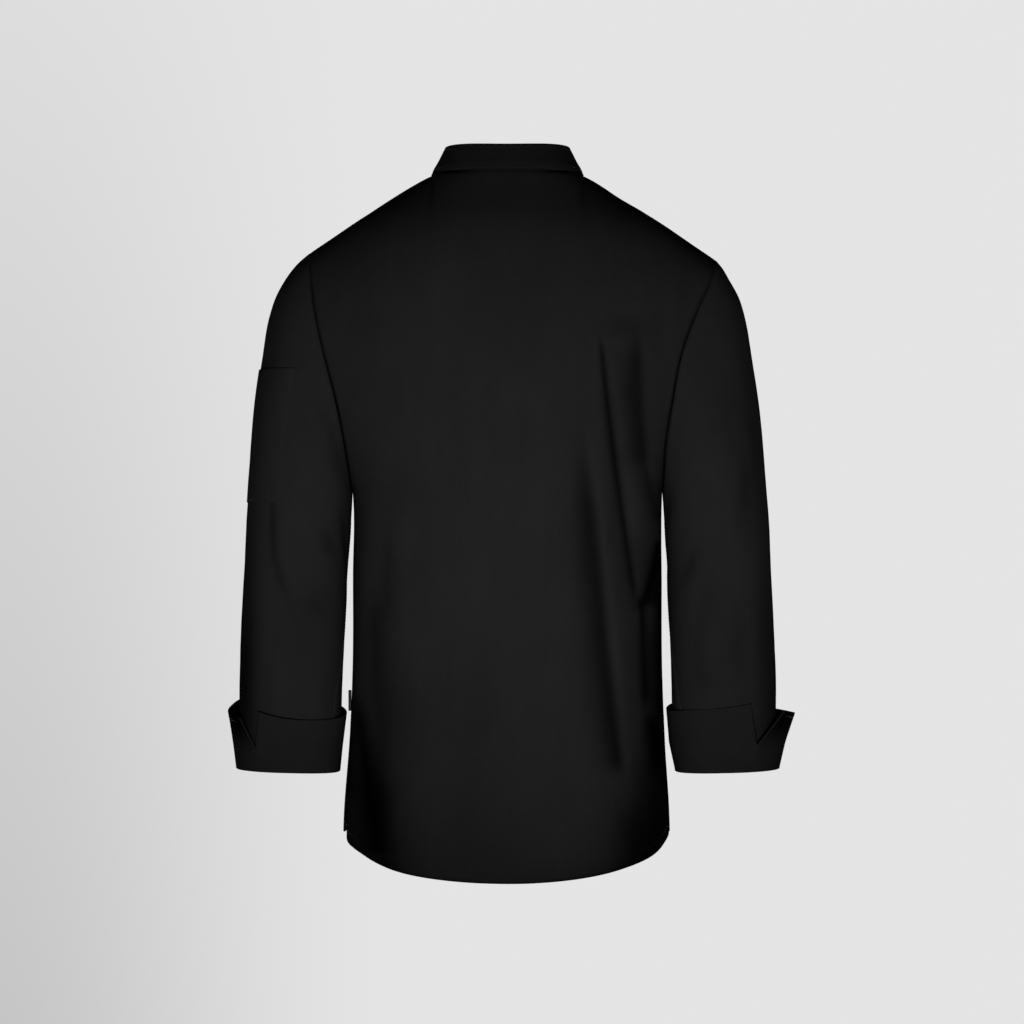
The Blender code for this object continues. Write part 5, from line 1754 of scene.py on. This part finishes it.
class JACKET_OT_fronts(bpy.types.Operator):
    """Make the cloth of the two fronts"""

    bl_idname = "jacket.fronts"
    bl_label = "Fronts"

    def execute(self, context):
        settings = context.scene.jacket_cloth
        for side in (1, -1):
            finish_cloth(side_name(side) + "_front", front_shell(side, settings), twill(settings))
        return {"FINISHED"}


class JACKET_OT_sleeves(bpy.types.Operator):
    """Make the cloth of the two sleeves"""

    bl_idname = "jacket.sleeves"
    bl_label = "Sleeves"

    def execute(self, context):
        settings = context.scene.jacket_cloth
        for side in (1, -1):
            shell = sleeve_shell(side, settings)
            ids = joined_ids(shell, len(shell.up))
            finish_cloth(side_name(side) + "_sleeve", shell, twill(settings), ids, side > 0)
        return {"FINISHED"}


class JACKET_OT_cuffs(bpy.types.Operator):
    """Make the turned-back cuffs with their V slits"""

    bl_idname = "jacket.cuffs"
    bl_label = "Cuffs"

    def execute(self, context):
        settings = context.scene.jacket_cloth
        for side in (1, -1):
            shell, joined = cuff_shell(side, settings)
            ids = joined_ids(shell, joined)
            finish_cloth(side_name(side) + "_cuff", shell, stiff_twill(settings), ids, side > 0)
        return {"FINISHED"}


class JACKET_OT_collar(bpy.types.Operator):
    """Make the stand collar and the half-moon facing inside the neck"""

    bl_idname = "jacket.collar"
    bl_label = "Collar and facing"

    def execute(self, context):
        settings = context.scene.jacket_cloth
        finish_cloth("collar", collar_shell(settings), stiff_twill(settings))
        finish_cloth("neck_facing", facing_shell(settings), small_twill(settings))
        return {"FINISHED"}


class JACKET_OT_pocket(bpy.types.Operator):
    """Make the pen pocket on the left sleeve and the small tab in the side seam"""

    bl_idname = "jacket.pocket"
    bl_label = "Pen pocket and tab"

    def execute(self, context):
        settings = context.scene.jacket_cloth
        finish_cloth("pen_pocket", pocket_shell(settings), small_twill(settings))
        low, high = (Vector(corner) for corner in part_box("side_tab"))
        deselect_all()
        bpy.ops.mesh.primitive_cube_add(size=1, location=(low + high) / 2)
        tab = context.object
        tab.name = "side_tab_cloth"
        tab.scale = high - low
        bpy.ops.object.transform_apply(location=True, rotation=True, scale=True)
        bevel = tab.modifiers.new("Soft edges", "BEVEL")
        bevel.width = TAB_EDGE
        bevel.segments = 4
        bpy.ops.object.modifier_apply(modifier=bevel.name)
        bpy.ops.object.shade_smooth()
        finish_piece(tab, thread_material(context.scene.jacket_sewing), "cloth", "side_tab")
        return {"FINISHED"}


class JACKET_OT_buttons(bpy.types.Operator):
    """Make the ten buttons, each with its four holes"""

    bl_idname = "jacket.buttons"
    bl_label = "Buttons"

    def execute(self, context):
        buttons = context.scene.jacket_buttons
        material = button_material(buttons)
        model = button_model(buttons)
        front = front_shell(1, context.scene.jacket_cloth)
        out = unit(front.outer - front.inner)
        for side in (1, -1):
            for row in range(BUTTON_ROWS):
                node = f"button_{side_name(side)}_{row + 1}"
                low, high = (np.array(corner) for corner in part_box(node))
                centre = (low + high) / 2
                off = np.linalg.norm(front.outer - centre, axis=-1)
                facing = Vector(out[np.unravel_index(np.argmin(off), off.shape)])
                turn = facing.to_track_quat("Z", "Y").to_matrix().to_4x4()
                mesh = model.data.copy()
                mesh.transform(Matrix.Translation(centre) @ turn)
                piece = bpy.data.objects.new(node + "_resin", mesh)
                context.scene.collection.objects.link(piece)
                finish_piece(piece, material, "buttons", node)
        bpy.data.objects.remove(model)
        return {"FINISHED"}


def button_model(buttons):
    """One button at the origin, facing +Z: a dished disc with a rounded rim and four holes."""
    deselect_all()
    bpy.ops.mesh.primitive_cylinder_add(vertices=48, radius=BUTTON_RADIUS, depth=BUTTON_THICK)
    disc = bpy.context.object
    bpy.ops.object.mode_set(mode="EDIT")
    shape = bmesh.from_edit_mesh(disc.data)
    for face in shape.faces:
        face.select_set(face.normal.z > 0.9)
    bmesh.update_edit_mesh(disc.data)
    bpy.ops.mesh.inset(thickness=buttons.rim)
    bpy.ops.mesh.inset(thickness=BUTTON_SLOPE)
    bpy.ops.transform.translate(value=(0, 0, -buttons.dish))
    bpy.ops.mesh.inset(thickness=BUTTON_FLOOR_EDGE)
    bpy.ops.object.mode_set(mode="OBJECT")
    bevel = disc.modifiers.new("Rounded rim", "BEVEL")
    bevel.width = BUTTON_EDGE
    bevel.segments = 3
    bevel.limit_method = "ANGLE"
    bpy.ops.object.modifier_apply(modifier=bevel.name)
    for quarter in range(4):
        turn = math.pi / 4 + quarter * math.pi / 2
        spot = (buttons.hole_step * math.cos(turn), buttons.hole_step * math.sin(turn), 0)
        bpy.ops.mesh.primitive_cylinder_add(vertices=14, radius=buttons.hole, depth=0.02, location=spot)
        drill = bpy.context.object
        cut = disc.modifiers.new("Hole", "BOOLEAN")
        cut.operation = "DIFFERENCE"
        cut.object = drill
        bpy.context.view_layer.objects.active = disc
        bpy.ops.object.modifier_apply(modifier=cut.name)
        bpy.data.objects.remove(drill)
    deselect_all()
    disc.select_set(True)
    bpy.context.view_layer.objects.active = disc
    bpy.ops.object.shade_smooth_by_angle(angle=math.radians(32))
    return disc


class JACKET_OT_sewing(bpy.types.Operator):
    """Sew the hems, edges, collar, cuffs and pocket, as joined rows of stitches"""

    bl_idname = "jacket.sewing"
    bl_label = "Sewing"

    def execute(self, context):
        cloth, thread = context.scene.jacket_cloth, context.scene.jacket_sewing
        runs = {"back_panel": back_runs(cloth, thread)}
        for part, runs_of in (("front", front_runs), ("sleeve", sleeve_runs), ("cuff", cuff_runs)):
            for side in (1, -1):
                runs[f"{side_name(side)}_{part}"] = runs_of(side, cloth, thread)
        runs["collar"] = collar_runs(cloth, thread)
        runs["pen_pocket"] = pocket_runs(cloth, thread)
        for name, stitches in runs.items():
            piece = sewn(name + "_stitches", stitches, thread)
            finish_piece(piece, thread_material(thread), "cloth")
        return {"FINISHED"}


def body_runs(shell, thread, open_sides):
    """The hem's stitching, and that of the vent on each open side."""
    vent = (shell.outer[..., 2] < VENT_SEWN_Z) & (shell.rise > HEM_RISE)
    paths = [contour(shell, shell.rise, HEM_RISE)]
    paths += [contour(shell, distance, EDGE_RISE, False, vent) for distance in open_sides]
    return [run_of_stitches(path, thread) for path in paths]


def cast(faces, origin, way, outward):
    """The point and outward normal where a ray meets a surface, as a list of none or one."""
    spot, normal, _, _ = faces.ray_cast(Vector(origin), Vector(way))
    if spot is None:
        return []
    return [[*spot, *(normal if normal.y * outward > 0 else -normal)]]


def back_runs(cloth, thread):
    shell = back_shell(cloth)
    faces = surface_of(shell)
    path = []
    for x, z in rounded_path(HALF_MOON_POINTS, 120):
        path += cast(faces, (x, 0.5, z), (0, -1, 0), 1)
    moon = run_of_stitches(np.array(path), thread)
    return [*body_runs(shell, thread, (shell.start, shell.end)), moon]


def surface_of(shell):
    """The outer face of a shell, for finding points on it."""
    quads = grid_quads(*shell.outer.shape[:2])
    return BVHTree.FromPolygons(shell.outer.reshape(-1, 3).tolist(), quads.tolist())


def front_runs(side, cloth, thread):
    shell = front_shell(side, cloth)
    own, lap = (shell.end, shell.start) if side > 0 else (shell.start, shell.end)
    edge = contour(shell, lap, EDGE_RISE, False, shell.rise > HEM_RISE)
    holes = buttonholes(shell) if side > 0 else []
    return [*body_runs(shell, thread, (own,)), run_of_stitches(edge, thread), *holes]


def buttonholes(shell):
    """A worked buttonhole behind each button of the column next to the lap's edge."""
    faces = surface_of(shell)
    runs = []
    for row in range(BUTTON_ROWS):
        low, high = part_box(f"button_right_{row + 1}")
        x, z = (low[0] + high[0]) / 2, (low[2] + high[2]) / 2
        for lip in (-BUTTONHOLE_LIP, BUTTONHOLE_LIP):
            path = []
            for step in np.linspace(*BUTTONHOLE, 13):
                path += cast(faces, (x + step, -0.5, z + lip), (0, 1, 0), -1)
            runs.append(dense(np.array(path), TACK_STEP))
    return runs


def sleeve_runs(side, cloth, thread):
    """Two rows along the felled seam under the arm."""
    shell = sleeve_shell(side, cloth)
    raised = (shell.across - 180) / DEGREES_A_MILLIMETRE / 1000
    field = np.broadcast_to(raised, shell.outer.shape[:2])[:, :-1]
    low = (shell.outer[..., 2] < FELL_SEWN_Z)[:, :-1]
    levels = (FELL_SEWN, FELL_WIDTH - FELL_SEWN)
    return [run_of_stitches(contour(shell, field, level, False, low), thread) for level in levels]


def cuff_runs(side, cloth, thread):
    """Stitching along the rim, down both edges of the slit, and a bar-tack at its foot."""
    shell, joined = cuff_shell(side, cloth)
    rim = contour(shell, -shell.rise, -EDGE_RISE, True, shell.end > EDGE_RISE)
    runs = [run_of_stitches(rim, thread)]
    slit = (np.arange(len(shell.outer))[:, None] >= joined - 1) & (shell.rise > EDGE_RISE)
    half = shell.outer.shape[1] // 2
    for part in (slice(0, half), slice(half, None)):
        cut = shell._replace(outer=shell.outer[:, part], inner=shell.inner[:, part])
        path = contour(cut, shell.end[:, part], EDGE_RISE, False, slit[:, part])
        runs.append(run_of_stitches(path, thread))
    foot = joined - 2, [-6, -1, 5]
    out = unit(shell.outer - shell.inner)[foot]
    return [*runs, dense(np.concatenate([shell.outer[foot], out], 1), TACK_STEP)]


def collar_runs(cloth, thread):
    shell = collar_shell(cloth)
    inside = shell.end > COLLAR_RISE_LOW
    low = contour(shell, shell.rise, COLLAR_RISE_LOW, True, inside)
    high = contour(shell, shell.rise - shell.rise[-1:], -COLLAR_RISE_LOW, True, inside)
    return [run_of_stitches(low, thread), run_of_stitches(high, thread)]


def pocket_runs(cloth, thread):
    shell = pocket_shell(cloth)
    below = shell.rise > 0.001
    return [
        run_of_stitches(contour(shell, shell.start, POCKET_SEWN, False, below), thread),
        run_of_stitches(contour(shell, -shell.end, -POCKET_SEWN, False, below), thread),
        run_of_stitches(contour(shell, shell.rise - shell.rise[-1:], -POCKET_SEWN), thread),
    ]


class JACKET_OT_stage(bpy.types.Operator):
    """Set up the floor, the backdrop, the lights and the camera"""

    bl_idname = "jacket.stage"
    bl_label = "Stage"

    def execute(self, context):
        stage = context.scene.jacket_stage
        make_floor(stage)
        make_backdrop(stage)
        aim = MIDDLE + Vector((0, 0, stage.light_rise))
        for name, turn, rise, share in LIGHTS:
            soft_light(name, aim, turn, rise, stage.light * share, stage.beam)
        camera = bpy.data.cameras.new("camera")
        camera.sensor_width = 36
        camera.lens = camera.sensor_width * stage.camera_distance / stage.view_width
        holder = bpy.data.objects.new("camera", camera)
        holder.location = MIDDLE + Vector((0, stage.camera_distance, 0))
        holder.rotation_euler = (math.pi / 2, 0, math.pi)
        context.scene.collection.objects.link(holder)
        context.scene.camera = holder
        context.scene.view_settings.view_transform = "Standard"
        return {"FINISHED"}


def make_floor(stage):
    deselect_all()
    place = (0, 0, -stage.floor_drop)
    bpy.ops.mesh.primitive_circle_add(
        vertices=96, radius=stage.floor_radius, fill_type="NGON", location=place
    )
    floor = bpy.context.object
    floor.name = "floor"
    material = bpy.data.materials.new("pale_floor")
    material.use_nodes = True
    tree = material.node_tree
    shader = tree.nodes["Principled BSDF"]
    shader.inputs["Roughness"].default_value = 0.9
    shader.inputs["Base Color"].default_value = (*stage.backdrop, 1)
    # The floor looks as pale as the backdrop without throwing light up at the cloth.
    shader.inputs["Emission Color"].default_value = (*stage.backdrop, 1)
    seen = tree.nodes.new("ShaderNodeLightPath").outputs["Is Camera Ray"]
    tree.links.new(times(tree, seen, stage.floor_glow), shader.inputs["Emission Strength"])
    floor.data.materials.append(material)


def make_backdrop(stage):
    """Pale all round for the camera, and a dim even light for everything else."""
    world = bpy.data.worlds.new("backdrop")
    world.use_nodes = True
    bpy.context.scene.world = world
    tree = world.node_tree
    tree.nodes.clear()
    seen = new_node(tree, "ShaderNodeBackground", Color=(*stage.backdrop, 1))
    tree.links.new(backdrop_shade(tree), seen.inputs["Strength"])
    around = new_node(tree, "ShaderNodeBackground", Color=(1, 1, 1, 1), Strength=stage.ambient)
    rays = tree.nodes.new("ShaderNodeLightPath")
    mix = tree.nodes.new("ShaderNodeMixShader")
    out = tree.nodes.new("ShaderNodeOutputWorld")
    tree.links.new(rays.outputs["Is Camera Ray"], mix.inputs["Fac"])
    tree.links.new(around.outputs[0], mix.inputs[1])
    tree.links.new(seen.outputs[0], mix.inputs[2])
    tree.links.new(mix.outputs[0], out.inputs["Surface"])


def map_range(tree, value, ends, results=(0, 1), kind="LINEAR"):
    """A value that runs from one result to the other while the given one runs between its ends."""
    node = tree.nodes.new("ShaderNodeMapRange")
    node.interpolation_type = kind
    tree.links.new(value, node.inputs["Value"])
    for label, number in zip(("From Min", "From Max", "To Min", "To Max"), (*ends, *results)):
        node.inputs[label].default_value = number
    return node.outputs["Result"]


def backdrop_shade(tree):
    """The backdrop's light falls off a little to the left, and more so lower down."""
    parts = tree.nodes.new("ShaderNodeSeparateXYZ")
    tree.links.new(tree.nodes.new("ShaderNodeTexCoord").outputs["Generated"], parts.inputs[0])
    aside = map_range(tree, parts.outputs["X"], (0.03, 0.17), kind="SMOOTHSTEP")
    lower = map_range(tree, parts.outputs["Z"], (0.16, -0.16), (0.07, 0.29))
    return math_node(tree, "SUBTRACT", 1.0, times(tree, aside, lower))


# The lights: each one's way round from the back and up from the level, and its share of the power
Light = namedtuple("Light", "name turn rise share")
LIGHTS = (
    Light("back_key", 0, -18, 1.0),
    Light("front_key", 180, -6, 0.26),
    Light("left_fill", 138, 4, 0.46),
    Light("right_fill", -138, 4, 0.46),
    Light("top_fill", 180, 55, 0.12),
)
LIGHT_DISTANCE = 2.8
LIGHT_RADIUS = 0.12
MIDDLE = Vector((-0.005, 0, -0.3696))  # of the jacket, where the camera looks
BEAM_WIDENING = 1.35  # the beams are wider than they are high


def soft_light(name, aim, turn, rise, power, beam):
    """A soft spotlight that stands round the jacket and looks at its middle."""
    light = bpy.data.lights.new(name, "SPOT")
    light.energy = power
    light.spot_size = beam
    light.spot_blend = 1.0
    light.shadow_soft_size = LIGHT_RADIUS
    turn, rise = math.radians(turn), math.radians(rise)
    away = Vector((math.sin(turn) * math.cos(rise), math.cos(turn) * math.cos(rise), math.sin(rise)))
    holder = bpy.data.objects.new(name, light)
    holder.location = aim + away * LIGHT_DISTANCE
    holder.rotation_euler = away.to_track_quat("Z", "Y").to_euler()
    holder.scale = (BEAM_WIDENING, 1, 1)
    holder.visible_camera = False
    bpy.context.scene.collection.objects.link(holder)


class JACKET_OT_declare(bpy.types.Operator):
    """Does nothing."""

    bl_idname = "jacket.declare"
    bl_label = "Cloth sizes"

    def execute(self, context):
        return {"FINISHED"}


class JACKET_PT_panel(bpy.types.Panel):
    """The jacket's pieces, in the order that they are made."""

    bl_label = "Chef jacket"
    bl_idname = "JACKET_PT_panel"
    bl_space_type = "VIEW_3D"
    bl_region_type = "UI"
    bl_category = "Chef jacket"

    def draw(self, context):
        for operator in OPERATORS:
            self.layout.operator(operator.bl_idname)
        for name, group in GROUPS.items():
            box = self.layout.box()
            for label in group.__annotations__:
                box.prop(getattr(context.scene, name), label)


OPERATORS = (
    JACKET_OT_back,
    JACKET_OT_fronts,
    JACKET_OT_sleeves,
    JACKET_OT_cuffs,
    JACKET_OT_collar,
    JACKET_OT_pocket,
    JACKET_OT_buttons,
    JACKET_OT_sewing,
    JACKET_OT_declare,
    JACKET_OT_stage,
)


def register():
    for group in GROUPS.values():
        bpy.utils.register_class(group)
    for name, group in GROUPS.items():
        setattr(bpy.types.Scene, name, PointerProperty(type=group))
    for kind in (*OPERATORS, JACKET_PT_panel):
        bpy.utils.register_class(kind)


def unregister():
    for kind in (JACKET_PT_panel, *reversed(OPERATORS)):
        bpy.utils.unregister_class(kind)
    for name, group in GROUPS.items():
        delattr(bpy.types.Scene, name)
        bpy.utils.unregister_class(group)


def main():
    """Makes the whole jacket."""
    register()
    for operator in OPERATORS:
        family, name = operator.bl_idname.split(".")
        getattr(getattr(bpy.ops, family), name)()


if __name__ == "__main__":
    main()
